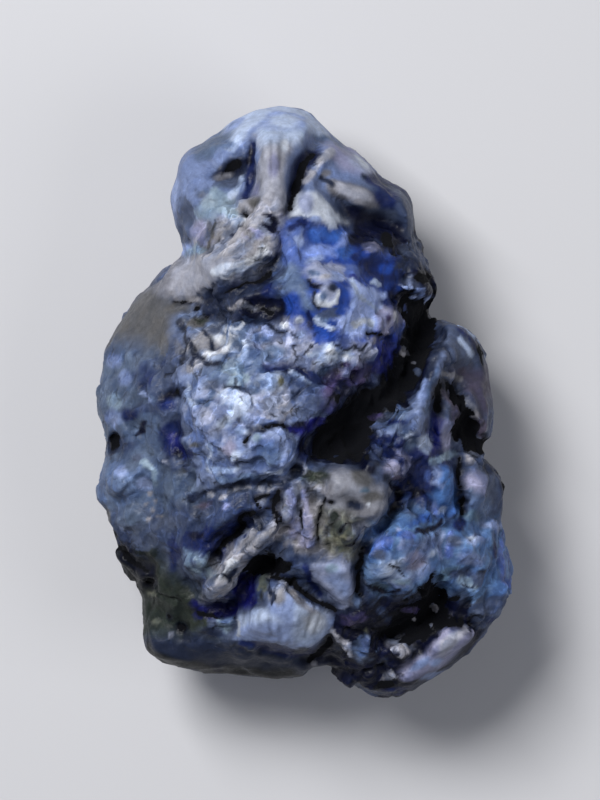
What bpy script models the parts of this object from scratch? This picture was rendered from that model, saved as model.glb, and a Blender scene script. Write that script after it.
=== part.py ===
"""A rough sapphire: one natural lump of corundum grown through with grey spar, lying on its flat back.

The stone is 29 mm wide, 42 mm long and 22 mm thick. X runs across it, Y along it to the narrow end, and Z up.
The origin is the middle of its footprint, on the surface that it rests on. Places and sizes are in millimetres.
"""
import bmesh
import bpy
import numpy as np
from mathutils import noise

METRES_PER_MM = 0.001

# The body: a ball stretched until its rim follows the outline, domed above the rim and cut flat below.
RIM_HEIGHT = 8.0
DOME_RISE = 12.0
BELLY_DEPTH = 10.6
DOME_LEAN = (-1.6, -1.0)
FULLNESS = 0.93
BALL_SUBDIVISIONS = 8
FINISHED_TRIANGLES = 9500

# The outline seen from above, anticlockwise from the right-hand side.
OUTLINE = (
    (13.5, 0.5), (13.3, 2.2), (12.9, 3.5), (12.1, 4.7), (11.1, 5.3), (10.1, 5.9), (9.6, 7.1), (9.1, 8.8),
    (8.5, 10.5), (8.05, 12.0), (8.0, 13.1), (7.7, 14.1), (7.1, 14.9), (6.2, 15.4), (5.3, 16.3), (4.4, 17.2),
    (3.0, 18.05), (1.9, 19.0), (1.0, 20.0), (0.0, 20.7), (-1.7, 21.1), (-3.0, 20.85), (-4.2, 20.25), (-5.0, 19.8),
    (-5.8, 19.0), (-6.5, 18.75), (-7.1, 18.3), (-7.9, 18.0), (-8.6, 17.4), (-8.95, 16.6), (-9.1, 15.8),
    (-9.45, 14.8), (-9.35, 13.5), (-9.05, 12.3), (-8.85, 11.3), (-9.1, 10.3), (-9.7, 9.3), (-10.5, 8.4),
    (-11.5, 7.4), (-12.3, 6.2), (-13.2, 4.9), (-13.8, 3.7), (-14.15, 2.2), (-14.5, 0.7), (-14.55, -0.8),
    (-14.25, -2.2), (-14.1, -3.6), (-14.25, -5.0), (-14.55, -6.2), (-14.5, -7.1), (-14.05, -7.8), (-13.8, -8.9),
    (-13.3, -10.0), (-13.1, -11.1), (-12.4, -12.2), (-11.7, -13.2), (-11.35, -14.3), (-11.3, -16.0),
    (-11.2, -17.6), (-10.5, -18.7), (-9.0, -19.3), (-6.5, -19.6), (-4.0, -19.9), (-1.5, -20.0), (0.8, -19.65),
    (2.4, -19.75), (3.6, -20.4), (5.0, -21.0), (6.4, -21.2), (7.9, -20.8), (9.5, -19.95), (11.0, -18.9),
    (12.4, -17.6), (13.5, -16.2), (14.3, -14.8), (14.7, -13.2), (14.75, -11.6), (14.5, -10.1), (14.25, -8.9),
    (14.45, -8.0), (14.45, -6.8), (14.15, -5.6), (13.55, -4.6), (13.2, -3.7), (13.55, -2.4), (13.65, -0.9),
)

# Swells and sinks that shape the whole dome: middle, radii, turn in degrees, rise.
SWELLS = (
    ((-4.2, -1.4), (5.4, 6.2), 0, 1.4),
    ((2.4, 7.6), (4.6, 5.2), 0, 1.7),
    ((3.0, -8.0), (4.2, 4.2), 0, 0.9),
    ((7.4, -10.9), (3.5, 3.6), 0, 1.7),
    ((12.2, -11.2), (2.6, 3.4), 0, 1.0),
    ((-1.4, -15.8), (4.6, 2.6), 0, 1.2),
    ((-2.0, 17.6), (5.0, 3.6), 0, 1.2),
    ((-7.8, 15.0), (2.4, 3.4), 0, 1.0),
    ((-5.8, 9.8), (4.6, 2.0), 25, 1.0),
    ((-12.6, -6.0), (2.2, 2.2), 0, 1.0),
    ((11.6, -0.6), (3.0, 7.0), 0, -1.2),
    ((6.2, 12.0), (3.0, 3.2), 0, -1.4),
    ((-9.6, -15.0), (3.6, 4.2), 0, -1.8),
    ((-4.4, -19.6), (7.6, 2.4), 0, -2.2),
    ((-9.0, 1.0), (1.8, 5.0), 0, -0.6),
)

# How much of the rises and depths listed below the carving gives.
CARVING_SHARE = 0.78

# Ridges of spar and corundum that stand proud: path, half-width, rise.
RIDGES = (
    (((-2.3, 18.6), (-2.3, 16.2), (-2.2, 13.7)), 1.2, 1.1),
    (((2.3, 18.0), (1.5, 17.0), (0.6, 15.9), (0.1, 15.0)), 0.7, 0.8),
    (((3.0, 17.3), (4.7, 16.4)), 1.0, 0.5),
    (((2.2, 15.1), (3.4, 14.7), (4.6, 14.1)), 0.7, 0.8),
    (((-6.2, 17.3), (-4.8, 17.1)), 0.6, 0.4),
    (((6.9, 14.4), (7.2, 12.6)), 0.8, 0.6),
    (((-9.6, 8.2), (-8.0, 8.6), (-6.2, 9.7), (-4.2, 10.6), (-2.6, 11.6)), 1.5, 1.0),
    (((9.5, 3.0), (9.0, 1.5), (8.5, 0.1), (8.1, -1.1), (8.0, -2.4)), 0.9, 1.9),
    (((9.7, 1.5), (10.7, 1.7)), 0.5, 0.6),
    (((10.0, 0.1), (10.6, -0.9), (10.8, -2.0)), 0.5, 0.9),
    (((11.3, 0.3), (11.9, -0.8), (12.8, -2.2)), 0.5, 1.0),
    (((10.0, -1.2), (10.2, -2.7)), 0.5, 0.7),
    (((7.1, -3.0), (7.8, -2.5), (8.3, -2.9)), 0.4, 0.5),
    (((9.0, -4.3), (10.3, -3.7)), 0.4, 0.5),
    (((-6.9, -14.1), (-5.6, -12.4), (-4.7, -11.1), (-3.4, -10.0), (-2.3, -9.1), (-1.7, -8.4)), 0.9, 1.5),
    (((-8.4, -9.9), (-6.7, -9.5), (-5.5, -8.8), (-4.4, -7.6)), 0.9, 0.8),
    (((-0.9, -6.4), (-0.9, -9.6)), 0.6, 0.8),
    (((0.2, -6.8), (0.3, -10.6)), 0.5, 0.8),
    (((7.3, -19.9), (8.8, -18.9), (10.2, -17.6), (11.3, -16.7)), 1.2, 1.3),
    (((2.3, -16.6), (3.0, -17.5), (3.3, -18.5)), 0.4, 0.7),
    (((7.5, -10.1), (8.6, -10.0), (9.5, -9.4), (10.1, -8.8)), 0.5, 0.5),
    (((7.6, 4.1), (7.3, 2.8)), 0.4, 0.9),
    (((-1.3, -3.0), (-1.2, -4.1), (-2.2, -5.0)), 0.7, 0.5),
    (((13.2, -12.2), (13.8, -10.9)), 0.5, 0.4),
    (((-8.9, -5.2), (-8.4, -9.2)), 0.9, 0.4),
)

# Rounded knobs, grains and flat-faced crystals: middle, radii, turn in degrees, rise.
LUMPS = (
    ((1.2, 13.6), (2.1, 1.4), -28, 1.1),
    ((-7.2, 11.5), (1.0, 0.9), 0, 0.5),
    ((-5.7, 13.4), (1.1, 0.9), 0, 0.4),
    ((-3.9, 11.8), (1.3, 0.9), 0, 0.5),
    ((5.0, 10.6), (0.9, 0.6), 0, 0.9),
    ((7.9, 9.5), (0.6, 0.8), 0, 0.8),
    ((7.9, 7.8), (1.2, 0.6), -18, 1.3),
    ((1.8, 7.2), (1.3, 1.1), 0, 0.6),
    ((1.6, 9.1), (1.4, 0.6), 0, 0.5),
    ((6.1, 5.4), (1.1, 1.2), 0, 0.9),
    ((-0.3, 11.2), (0.9, 1.4), 0, 0.5),
    ((3.9, 7.4), (1.1, 1.0), 0, 0.4),
    ((4.4, 3.6), (1.6, 0.9), 0, 0.5),
    ((-5.0, 4.8), (1.1, 0.7), 20, 0.8),
    ((-4.0, 3.0), (0.9, 0.9), 0, 0.6),
    ((-2.3, 1.4), (1.2, 0.8), 0, 0.6),
    ((-4.9, -0.4), (1.3, 1.1), 0, 0.7),
    ((-6.3, -1.7), (0.9, 0.9), 0, 0.4),
    ((-2.0, -3.6), (1.8, 1.8), 0, 0.8),
    ((-13.3, -5.9), (1.2, 1.5), 0, 0.9),
    ((-12.0, -8.4), (1.3, 1.2), 0, 0.8),
    ((-13.1, 3.1), (0.9, 0.8), 0, 0.4),
    ((-13.3, -1.2), (0.9, 0.9), 0, 0.5),
    ((-7.5, -11.6), (1.2, 1.2), 0, 1.2),
    ((-5.8, -15.8), (0.6, 0.5), 0, 0.7),
    ((-3.0, -7.8), (1.2, 0.8), 0, 0.7),
    ((3.2, -5.9), (1.9, 1.4), 0, 1.1),
    ((4.8, -7.4), (1.3, 1.8), 0, 1.1),
    ((3.3, -9.7), (1.1, 1.1), 0, 0.7),
    ((6.6, -0.9), (0.9, 0.6), 0, 1.0),
    ((5.9, -2.2), (0.8, 0.8), 30, 1.1),
    ((8.8, -3.3), (0.8, 0.8), 0, 0.7),
    ((6.6, -4.9), (1.0, 1.1), 0, 1.1),
    ((4.9, -4.6), (0.6, 0.6), 0, 0.9),
    ((4.8, -3.2), (0.4, 0.4), 0, 0.9),
    ((11.1, 3.8), (1.6, 1.8), 0, 0.9),
    ((12.3, 0.4), (1.1, 1.6), 0, 0.6),
    ((11.8, -4.3), (0.7, 0.6), 0, 1.0),
    ((12.5, -6.8), (1.3, 2.2), 0, 1.3),
    ((6.1, -10.0), (1.2, 1.1), 0, 0.4),
    ((6.4, -12.2), (1.4, 1.0), 0, 0.4),
    ((12.3, -10.3), (1.3, 1.1), 0, 0.7),
    ((11.9, -13.2), (0.9, 0.9), 0, 0.5),
    ((13.6, -9.2), (0.8, 0.5), 0, 0.5),
    ((7.0, -17.9), (1.0, 0.7), 0, 1.3),
    ((6.5, -19.4), (0.6, 0.5), 30, 0.6),
    ((5.7, -18.6), (0.4, 0.4), 0, 0.7),
    ((4.3, -18.1), (0.8, 1.1), 0, 0.8),
    ((3.8, -15.6), (1.1, 0.8), 0, 0.8),
    ((3.8, -14.4), (0.5, 0.5), 0, 0.7),
    ((4.6, -16.8), (0.4, 0.4), 0, 0.7),
    ((9.4, -14.8), (0.5, 0.5), 0, 0.9),
    ((7.6, -15.0), (0.7, 0.4), 0, 0.8),
    ((9.1, -16.1), (0.4, 0.4), 0, 0.8),
)

# Crystal blocks with a flat top and steep sides: corners, edge width, rise.
BLOCKS = (
    (((-4.8, -16.9), (-4.5, -15.6), (-3.4, -14.6), (-2.4, -14.6), (-2.3, -12.8), (-1.5, -12.8), (-0.3, -13.8),
      (1.8, -15.0), (2.1, -16.0), (1.4, -17.1), (0.3, -17.8), (-2.4, -17.4)), 0.7, 1.4),
    (((-0.3, -11.3), (3.6, -11.3), (3.6, -13.5), (2.8, -14.8), (1.2, -13.8), (-0.3, -12.4)), 0.6, 1.0),
    (((8.9, -4.8), (10.8, -4.7), (11.0, -7.9), (9.7, -7.9), (8.7, -6.3)), 0.7, 1.3),
)

# Clefts between the crystals: path, half-width at each point, depth. Their walls slope out to a little more than
# the half-width, and the narrow ones run out to a point.
CLEFT_FLARE = 1.35
NARROW_CLEFT = 0.7
NARROW_END = 0.4
CLEFTS = (
    (((-3.6, 18.2), (-3.7, 16.4), (-3.9, 14.6)), (0.5, 0.6, 0.5), 1.3),
    (((1.1, 18.1), (0.4, 17.0), (-0.3, 15.6), (-0.8, 14.0), (-1.1, 12.9)), (0.8, 0.9, 0.6, 0.5, 0.4), 2.3),
    (((1.9, 14.9), (2.7, 13.8), (3.5, 12.7), (4.4, 12.2), (6.2, 12.2)), (0.4, 0.7, 0.9, 1.2, 1.2), 1.8),
    (((-1.2, 12.6), (-1.3, 11.2), (-1.8, 9.5), (-3.0, 8.3), (-4.6, 7.6), (-5.8, 7.3), (-7.0, 6.9)),
     (0.3, 0.4, 0.6, 0.7, 0.6, 0.5, 0.4), 2.0),
    (((-1.8, 6.3), (-3.2, 6.5), (-4.8, 6.3), (-6.8, 5.5), (-8.2, 6.2)), (1.0, 1.1, 0.7, 0.6, 0.4), 1.5),
    (((9.6, 7.4), (8.6, 5.8), (8.3, 3.8), (7.4, 2.1), (6.4, 0.5), (4.9, -1.1), (3.2, -2.4), (1.6, -3.3)),
     (0.9, 1.5, 1.4, 1.7, 2.0, 2.2, 2.1, 1.4), 4.2),
    (((3.6, -4.3), (4.0, -5.0)), (0.8, 0.4), 1.4),
    (((9.9, 0.7), (9.6, -0.6), (9.3, -2.0), (9.4, -3.2)), (0.4, 0.7, 0.6, 0.4), 1.5),
    (((10.7, 0.9), (11.0, 0.2)), (0.6, 0.4), 1.2),
    (((11.2, -0.8), (11.6, -2.1), (12.5, -2.9), (13.2, -3.7)), (0.4, 0.8, 0.7, 0.5), 1.7),
    (((10.9, -3.6), (11.1, -5.4), (11.2, -7.0), (11.3, -8.6)), (0.4, 0.5, 0.5, 0.4), 1.8),
    (((6.1, -5.9), (6.6, -6.6), (6.3, -7.6), (5.6, -8.7), (4.8, -9.8), (4.2, -10.9), (3.9, -12.4), (4.0, -14.1)),
     (0.5, 0.8, 0.6, 0.5, 0.5, 0.5, 0.5, 0.4), 2.3),
    (((7.4, -6.3), (8.4, -6.8)), (0.6, 0.5), 1.1),
    (((5.1, -2.9), (6.2, -3.5), (7.4, -3.8)), (0.4, 0.6, 0.5), 1.1),
    (((8.5, -9.6), (9.6, -9.0)), (0.3, 0.3), 0.7),
    (((9.2, -12.5), (9.3, -13.8), (8.6, -15.4), (6.6, -16.4), (5.2, -16.9)), (0.5, 1.0, 1.6, 1.3, 0.6), 2.8),
    (((9.4, -14.8), (10.8, -15.0), (11.9, -15.8)), (1.2, 1.2, 0.7), 1.8),
    (((5.3, -13.4), (6.2, -13.6)), (0.4, 0.4), 0.7),
    (((9.4, -19.8), (11.0, -18.6), (12.7, -17.2)), (0.4, 0.5, 0.4), 0.9),
    (((0.2, -4.9), (-1.2, -5.9), (-2.8, -6.1), (-4.6, -6.2), (-6.6, -6.8), (-8.2, -7.3)),
     (0.5, 0.4, 0.3, 0.3, 0.35, 0.25), 0.75),
    (((-1.5, -6.4), (-1.6, -7.6), (-2.6, -8.7), (-3.9, -8.9), (-5.0, -9.9), (-6.2, -10.8), (-6.4, -12.0)),
     (0.5, 0.4, 0.4, 0.6, 0.5, 0.4, 0.3), 1.6),
    (((-1.4, -11.4), (-2.9, -11.8), (-3.9, -12.7), (-4.3, -14.0), (-5.3, -14.9), (-7.2, -15.2)),
     (0.6, 0.9, 0.7, 0.7, 0.6, 0.4), 2.1),
    (((-1.9, -12.4), (-0.4, -13.1), (1.0, -14.2), (2.4, -15.1)), (0.4, 0.3, 0.3, 0.3), 1.5),
    (((-8.6, -13.7), (-7.4, -13.1), (-6.4, -12.6)), (0.2, 0.3, 0.3), 0.8),
    (((-4.6, -17.3), (-2.2, -17.9), (0.0, -18.5), (1.3, -17.9)), (0.3, 0.4, 0.7, 0.6), 1.2),
    (((5.2, -17.4), (5.5, -19.6)), (0.4, 0.5), 1.2),
    (((0.9, 2.2), (2.4, 1.2), (4.2, 1.4)), (0.4, 0.6, 0.5), 0.9),
    (((1.1, -9.9), (1.1, -8.2), (1.9, -7.1)), (0.25, 0.3, 0.35), 0.9),
    (((2.1, -10.0), (2.3, -8.4)), (0.3, 0.3), 0.8),
    (((-3.7, -2.9), (-3.1, -2.1), (-2.0, -2.0), (-0.8, -2.1)), (0.3, 0.3, 0.3, 0.2), 0.5),
    (((-6.4, 12.4), (-6.5, 11.0)), (0.35, 0.3), 0.6),
    (((5.4, -8.9), (6.4, -8.1), (7.8, -7.9), (9.0, -8.6), (9.9, -10.2), (10.2, -11.8)), 0.45, 0.9),
    (((-3.6, 5.2), (-3.1, 3.8), (-1.9, 2.6), (-0.6, 2.3)), 0.4, 0.7),
    (((-6.9, 3.4), (-6.6, 1.4), (-5.6, 0.7), (-3.8, 0.9)), 0.4, 0.6),
    (((-8.4, 4.4), (-8.2, 1.8), (-9.0, -1.8), (-8.4, -4.6)), 0.5, 0.8),
    (((-10.6, 3.6), (-11.2, 0.4), (-11.0, -3.4), (-10.2, -5.0)), 0.4, 0.5),
)

# Round pits: middle, radii, turn in degrees, depth.
PITS = (
    ((-5.2, 16.1), (1.2, 0.7), 12, 1.0),
    ((-8.0, 12.8), (1.1, 0.8), 0, 0.7),
    ((-2.1, 12.6), (0.6, 0.6), 0, 0.8),
    ((4.7, 9.4), (0.9, 0.9), 0, 0.9),
    ((0.8, 8.1), (0.5, 0.5), 0, 0.6),
    ((2.2, 7.6), (0.4, 0.3), 0, 0.6),
    ((0.5, 5.7), (0.3, 0.8), 0, 0.7),
    ((-9.2, 0.2), (1.0, 0.6), 0, 0.9),
    ((-13.2, -3.1), (0.8, 0.8), 0, 1.3),
    ((-11.5, -2.4), (0.4, 0.8), 0, 0.8),
    ((-8.7, -3.8), (0.6, 1.2), 35, 0.7),
    ((-11.7, -11.6), (1.4, 0.6), -22, 1.5),
    ((-10.8, -13.1), (0.7, 0.6), 0, 1.2),
    ((-8.4, -16.2), (0.7, 0.6), 0, 1.2),
    ((11.7, -12.2), (0.6, 0.5), 0, 0.6),
    ((11.8, -13.2), (0.3, 0.3), 0, 0.5),
    ((3.5, -8.4), (0.5, 0.5), 0, 0.6),
    ((3.6, -7.6), (0.7, 0.4), 0, 0.4),
    ((13.4, -12.6), (0.6, 0.5), 0, 0.5),
)

# Flat parting faces round the flanks: compass direction and upward tilt in degrees, then how far out each lies
# as a share of the ball.
PARTING_FACES = (
    (2, -38, 0.86), (38, -44, 0.83), (75, -36, 0.88), (112, -42, 0.85), (150, -38, 0.86),
    (186, -43, 0.83), (222, -37, 0.87), (258, -44, 0.85), (292, -37, 0.88), (328, -42, 0.84),
    (18, 38, 0.88), (60, 44, 0.91), (128, 41, 0.89), (166, 34, 0.90), (204, 42, 0.88),
    (248, 41, 0.90), (288, 36, 0.91), (328, 39, 0.88),
)

# Grooves that carry the clefts on down the flanks: path, half-width, depth.
FLANK_GROOVES = (
    (((13.6, -3.8, 10.0), (13.4, -4.0, 6.0), (11.6, -4.6, 2.2)), 1.5, 1.0),
    (((10.3, 6.4, 10.0), (10.0, 6.6, 5.5), (8.2, 6.2, 1.5)), 1.7, 1.0),
    (((-8.9, 11.1, 10.0), (-9.0, 10.9, 5.5), (-7.4, 10.0, 1.2)), 1.9, 1.0),
    (((1.5, -19.8, 9.5), (1.4, -19.2, 4.5), (1.2, -17.0, 1.0)), 1.7, 1.0),
    (((-14.8, 2.2, 7.4), (-14.9, -3.0, 6.4), (-13.7, -8.6, 7.6)), 1.0, 0.5),
    (((14.6, -7.8, 6.6), (15.0, -12.2, 5.6), (12.8, -17.0, 6.4)), 1.0, 0.5),
    (((-10.4, -19.2, 8.4), (-4.0, -20.1, 6.6), (0.4, -19.5, 7.4)), 1.0, 0.45),
    (((4.6, 17.0, 8.0), (7.7, 13.0, 5.6), (9.0, 9.0, 6.6)), 1.0, 0.5),
)

# Knobs on the flanks: middle, radius, rise.
FLANK_LUMPS = (
    ((-13.6, -6.4, 4.4), 2.3, 0.9), ((13.9, -12.6, 4.2), 2.7, 0.9), ((12.9, 0.8, 4.4), 2.3, 0.9),
    ((-13.6, 1.2, 4.2), 2.5, 0.8), ((-4.2, -18.6, 3.8), 2.7, 0.9), ((7.4, -19.4, 4.4), 2.3, 0.9),
    ((-7.0, 16.6, 4.4), 2.2, 0.8), ((2.4, 17.2, 4.4), 2.1, 0.8), ((6.4, 12.2, 4.4), 2.1, 0.8),
    ((-11.4, 6.6, 4.4), 2.1, 0.8), ((-10.4, -13.4, 3.6), 2.4, 0.8), ((12.2, -7.0, 3.2), 1.9, 0.7),
)

# Pits on the flanks: middle, radius, depth.
FLANK_PITS = (
    ((-12.4, -9.8, 5.0), 1.3, 1.0), ((13.3, -9.0, 4.6), 1.2, 0.9), ((-13.9, 4.3, 6.0), 1.1, 0.9),
    ((4.4, 16.2, 5.4), 1.1, 0.9), ((-9.0, -18.6, 5.4), 1.3, 1.0), ((10.6, -17.8, 4.8), 1.2, 0.9),
    ((8.6, 9.2, 4.8), 1.2, 0.9), ((-4.6, 18.6, 5.6), 1.0, 0.8), ((-12.8, -3.4, 3.4), 1.2, 0.9),
)

# The lumpy grain of the whole stone: size of a lump, height. Then its chipped plates: width, tilt.
GRAIN = ((5.0, 0.45), (2.2, 0.18))
PLATES = ((3.6, 0.26), (1.5, 0.24))

STONE_BLUE = (0.126, 0.180, 0.381, 1.0)
STONE_ROUGHNESS = 0.42


def clear_the_scene():
    """Removes what a new file starts with."""
    for thing in list(bpy.data.objects):
        bpy.data.objects.remove(thing)


def smooth_step(amount):
    """Eases 0 to 1 in and out, and holds it at both ends."""
    held = np.clip(amount, 0.0, 1.0)
    return held * held * (3.0 - 2.0 * held)


def outline_radius(angles, points_between=8):
    """How far the outline lies from the middle in each direction, along a smooth curve through its points."""
    corners = np.array(OUTLINE)
    before, after = np.roll(corners, 1, axis=0), np.roll(corners, -1, axis=0)
    beyond = np.roll(corners, -2, axis=0)
    curve = []
    for step in np.arange(points_between) / points_between:
        curve.append(0.5 * (2 * corners + (after - before) * step
                            + (2 * before - 5 * corners + 4 * after - beyond) * step ** 2
                            + (3 * corners - before - 3 * after + beyond) * step ** 3))
    curve = np.concatenate(curve)
    turn = np.arctan2(curve[:, 1], curve[:, 0])
    reach = np.hypot(curve[:, 0], curve[:, 1])
    order = np.argsort(turn)
    return np.interp(angles, turn[order], reach[order], period=2 * np.pi)


def distance_to_path(places, path, widths):
    """Each place's distance to a path as a share of the path's half-width there."""
    widths = np.broadcast_to(widths, len(path)).astype(float)
    nearest = np.full(len(places), np.inf)
    for start, end, width, next_width in zip(path, path[1:], widths, widths[1:]):
        along = np.subtract(end, start)
        share = np.clip((places - start) @ along / (along @ along), 0.0, 1.0)
        gap = np.linalg.norm(places - start - share[:, None] * along, axis=1)
        nearest = np.minimum(nearest, gap / (width + (next_width - width) * share))
    return nearest


def tapered(widths, points_in_path):
    """The half-widths along a cleft, with its narrow ends drawn in."""
    widths = np.full(points_in_path, widths, float) if np.ndim(widths) == 0 else np.array(widths, float)
    if points_in_path > 2:
        for end in (0, -1):
            if widths[end] < NARROW_CLEFT:
                widths[end] *= NARROW_END
    return widths


def distance_to_middle(places, middle, radii, turn):
    """Each place's distance to the middle of an oval, as a share of the oval's radius in that direction."""
    angle = np.radians(turn)
    across = (places - middle) @ (np.cos(angle), np.sin(angle)) / radii[0]
    along = (places - middle) @ (-np.sin(angle), np.cos(angle)) / radii[1]
    return np.hypot(across, along)


def distance_in_crystal(places, middle, radii, turn):
    """As distance_to_middle, but for a six-sided crystal, so that its sides and its top come out flat."""
    angle = np.radians(turn)
    across = (places - middle) @ (np.cos(angle), np.sin(angle)) / radii[0]
    along = (places - middle) @ (-np.sin(angle), np.cos(angle)) / radii[1]
    sides = np.radians(turn * 1.7 + middle[0] * 40.0 + np.arange(0, 360, 60))
    return np.max([across * np.cos(side) + along * np.sin(side) for side in sides], axis=0) * 1.05


def depth_inside(places, corners):
    """How far each place lies inside a many-sided shape. Places outside get a negative depth."""
    inside = np.zeros(len(places), bool)
    nearest = np.full(len(places), np.inf)
    for start, end in zip(corners, corners[1:] + corners[:1]):
        along = np.subtract(end, start)
        share = np.clip((places - start) @ along / (along @ along), 0.0, 1.0)
        nearest = np.minimum(nearest, np.linalg.norm(places - start - share[:, None] * along, axis=1))
        spans = (places[:, 1] < start[1]) != (places[:, 1] < end[1])
        rise = along[1] if along[1] else 1.0
        crossing = start[0] + (places[:, 1] - start[1]) / rise * along[0]
        inside ^= spans & (places[:, 0] < crossing)
    return np.where(inside, nearest, -nearest)


def noise_at(points, lump_size, shift):
    """Smooth noise from -1 to 1 whose lumps are about that many millimetres apart."""
    scaled = points / lump_size + shift
    return np.array([noise.noise(point) for point in scaled.tolist()])


def plates_at(points, width, shift):
    """Flat plates that each lean their own way and meet in low creases: a height from about -1 to 1."""
    scaled = points / width + shift
    nearest = [noise.voronoi(point) for point in scaled.tolist()]
    gaps = np.array([distances[1] - distances[0] for distances, middles in nearest])
    middles = np.array([tuple(middles[0]) for distances, middles in nearest])
    leans = np.array([tuple(noise.cell_vector(middle)) for middle in (middles * 41.0).tolist()]) - 0.5
    tilted = np.sum((scaled - middles) * leans, axis=1)
    crease = np.minimum(gaps / 0.18, 1.0)
    return (2.6 * tilted + 0.35) * crease * (2.0 - crease) - 0.35


def relief(places):
    """How far the dome's surface is raised or sunk at each place, seen from above."""
    height = np.zeros(len(places))
    for path, width, rise in RIDGES:
        height += rise * np.clip(1.45 - 1.45 * distance_to_path(places, path, width), 0.0, 1.0)
    for middle, radii, turn, rise in LUMPS:
        height += rise * np.clip(1.9 - 1.9 * distance_in_crystal(places, middle, radii, turn), 0.0, 1.0)
    for corners, edge, rise in BLOCKS:
        height += rise * smooth_step(depth_inside(places, corners) / edge)
    for path, widths, depth in CLEFTS:
        gap = distance_to_path(places, path, tapered(widths, len(path))) / CLEFT_FLARE
        height -= depth * np.clip(1.0 - gap, 0.0, 1.0) ** 1.1
    for middle, radii, turn, depth in PITS:
        nearness = np.clip(1.0 - distance_to_middle(places, middle, radii, turn) ** 2, 0.0, 1.0)
        height -= depth * nearness
    height *= CARVING_SHARE
    for middle, radii, turn, rise in SWELLS:
        height += rise * smooth_step(1.0 - distance_to_middle(places, middle, radii, turn))
    return height


def stone_points(ball):
    """Carries the points of a ball of radius 1 to the surface of the stone."""
    ball = ball.copy()
    for compass, tilt, distance in PARTING_FACES:
        compass, tilt = np.radians((compass, tilt))
        facing = np.array((np.cos(compass) * np.cos(tilt), np.sin(compass) * np.cos(tilt), np.sin(tilt)))
        ball -= np.maximum(ball @ facing - distance, 0.0)[:, None] * facing
    out = np.hypot(ball[:, 0], ball[:, 1])
    angle = np.arctan2(ball[:, 1], ball[:, 0])
    reach = np.clip(out, 0.0, 1.0) ** FULLNESS
    radius = outline_radius(angle)
    points = np.empty_like(ball)
    points[:, 0] = radius * reach * np.cos(angle) + DOME_LEAN[0] * (1.0 - reach)
    points[:, 1] = radius * reach * np.sin(angle) + DOME_LEAN[1] * (1.0 - reach)
    upright = np.sign(ball[:, 2]) * np.abs(ball[:, 2]) ** FULLNESS
    points[:, 2] = RIM_HEIGHT + np.where(upright > 0, DOME_RISE, BELLY_DEPTH) * upright

    # Real edges wander, so the places where the forms are looked up are shaken a little.
    shaken = points[:, :2].copy()
    for lump_size, reach_of_shake, shift in ((2.6, 0.45, 11.0), (1.1, 0.26, 23.0)):
        shaken[:, 0] += reach_of_shake * noise_at(points, lump_size, shift)
        shaken[:, 1] += reach_of_shake * noise_at(points, lump_size, shift + 40.0)
    points[:, 2] += relief(shaken) * smooth_step(ball[:, 2] / 0.35)

    # The flanks, then a lumpy, chipped grain all round. Both are pushed straight out of the ball.
    outwards = np.zeros(len(points))
    for path, width, depth in FLANK_GROOVES:
        outwards -= depth * smooth_step(1.0 - distance_to_path(points, path, width))
    for middle, radius, rise in FLANK_LUMPS:
        outwards += rise * smooth_step(1.0 - np.linalg.norm(points - middle, axis=1) / radius)
    for middle, radius, depth in FLANK_PITS:
        outwards -= depth * smooth_step(1.3 - 1.3 * np.linalg.norm(points - middle, axis=1) / radius)
    grain = sum(height * noise_at(points, size, 70.0) for size, height in GRAIN)
    grain += sum(tilt * width * 0.5 * plates_at(points, width, 31.0) for width, tilt in PLATES)
    steady_rim = 0.35 + 0.65 * smooth_step(np.abs(ball[:, 2]) / 0.6)
    points += ball * (outwards + grain * steady_rim)[:, None]

    # The flat back that the stone rests on.
    points[:, 2] = np.maximum(points[:, 2], 0.0)
    return points


def corundum():
    """Rough blue corundum, between glassy and frosted."""
    material = bpy.data.materials.new("rough corundum")
    material.use_nodes = True
    shader = material.node_tree.nodes["Principled BSDF"]
    shader.inputs["Base Color"].default_value = STONE_BLUE
    shader.inputs["Roughness"].default_value = STONE_ROUGHNESS
    shader.inputs["Metallic"].default_value = 0.0
    return material


def take_result(thing):
    """Makes what the modifiers give the mesh of the object itself."""
    old = thing.data
    new = bpy.data.meshes.new_from_object(thing.evaluated_get(bpy.context.evaluated_depsgraph_get()))
    thing.modifiers.clear()
    thing.data = new
    bpy.data.meshes.remove(old)
    new.name = thing.name
    return new


def make_the_stone():
    """Stretches and carves a ball into the stone, then thins its triangles out where it is smooth."""
    mesh = bpy.data.meshes.new("sapphire")
    ball = bmesh.new()
    bmesh.ops.create_icosphere(ball, subdivisions=BALL_SUBDIVISIONS, radius=1.0)
    ball.to_mesh(mesh)
    ball.free()
    places = np.empty(len(mesh.vertices) * 3)
    mesh.vertices.foreach_get("co", places)
    carved = stone_points(places.reshape(-1, 3)) * METRES_PER_MM
    mesh.vertices.foreach_set("co", carved.ravel())

    stone = bpy.data.objects.new("sapphire", mesh)
    bpy.context.scene.collection.objects.link(stone)
    thinning = stone.modifiers.new("thin out", "DECIMATE")
    thinning.ratio = FINISHED_TRIANGLES / len(mesh.polygons)
    thinned = take_result(stone)

    # Thinning can lift a corner of the flat back by a hair, so it is laid flat again.
    for corner in thinned.vertices:
        if corner.co.z < 0.04 * METRES_PER_MM:
            corner.co.z = 0.0
    thinned.materials.clear()
    thinned.materials.append(corundum())
    thinned.shade_smooth()
    thinned.set_sharp_from_angle(angle=np.radians(40))
    return stone


clear_the_scene()
make_the_stone()
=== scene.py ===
import bmesh
import bpy
import numpy as np
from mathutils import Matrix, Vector, noise


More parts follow.
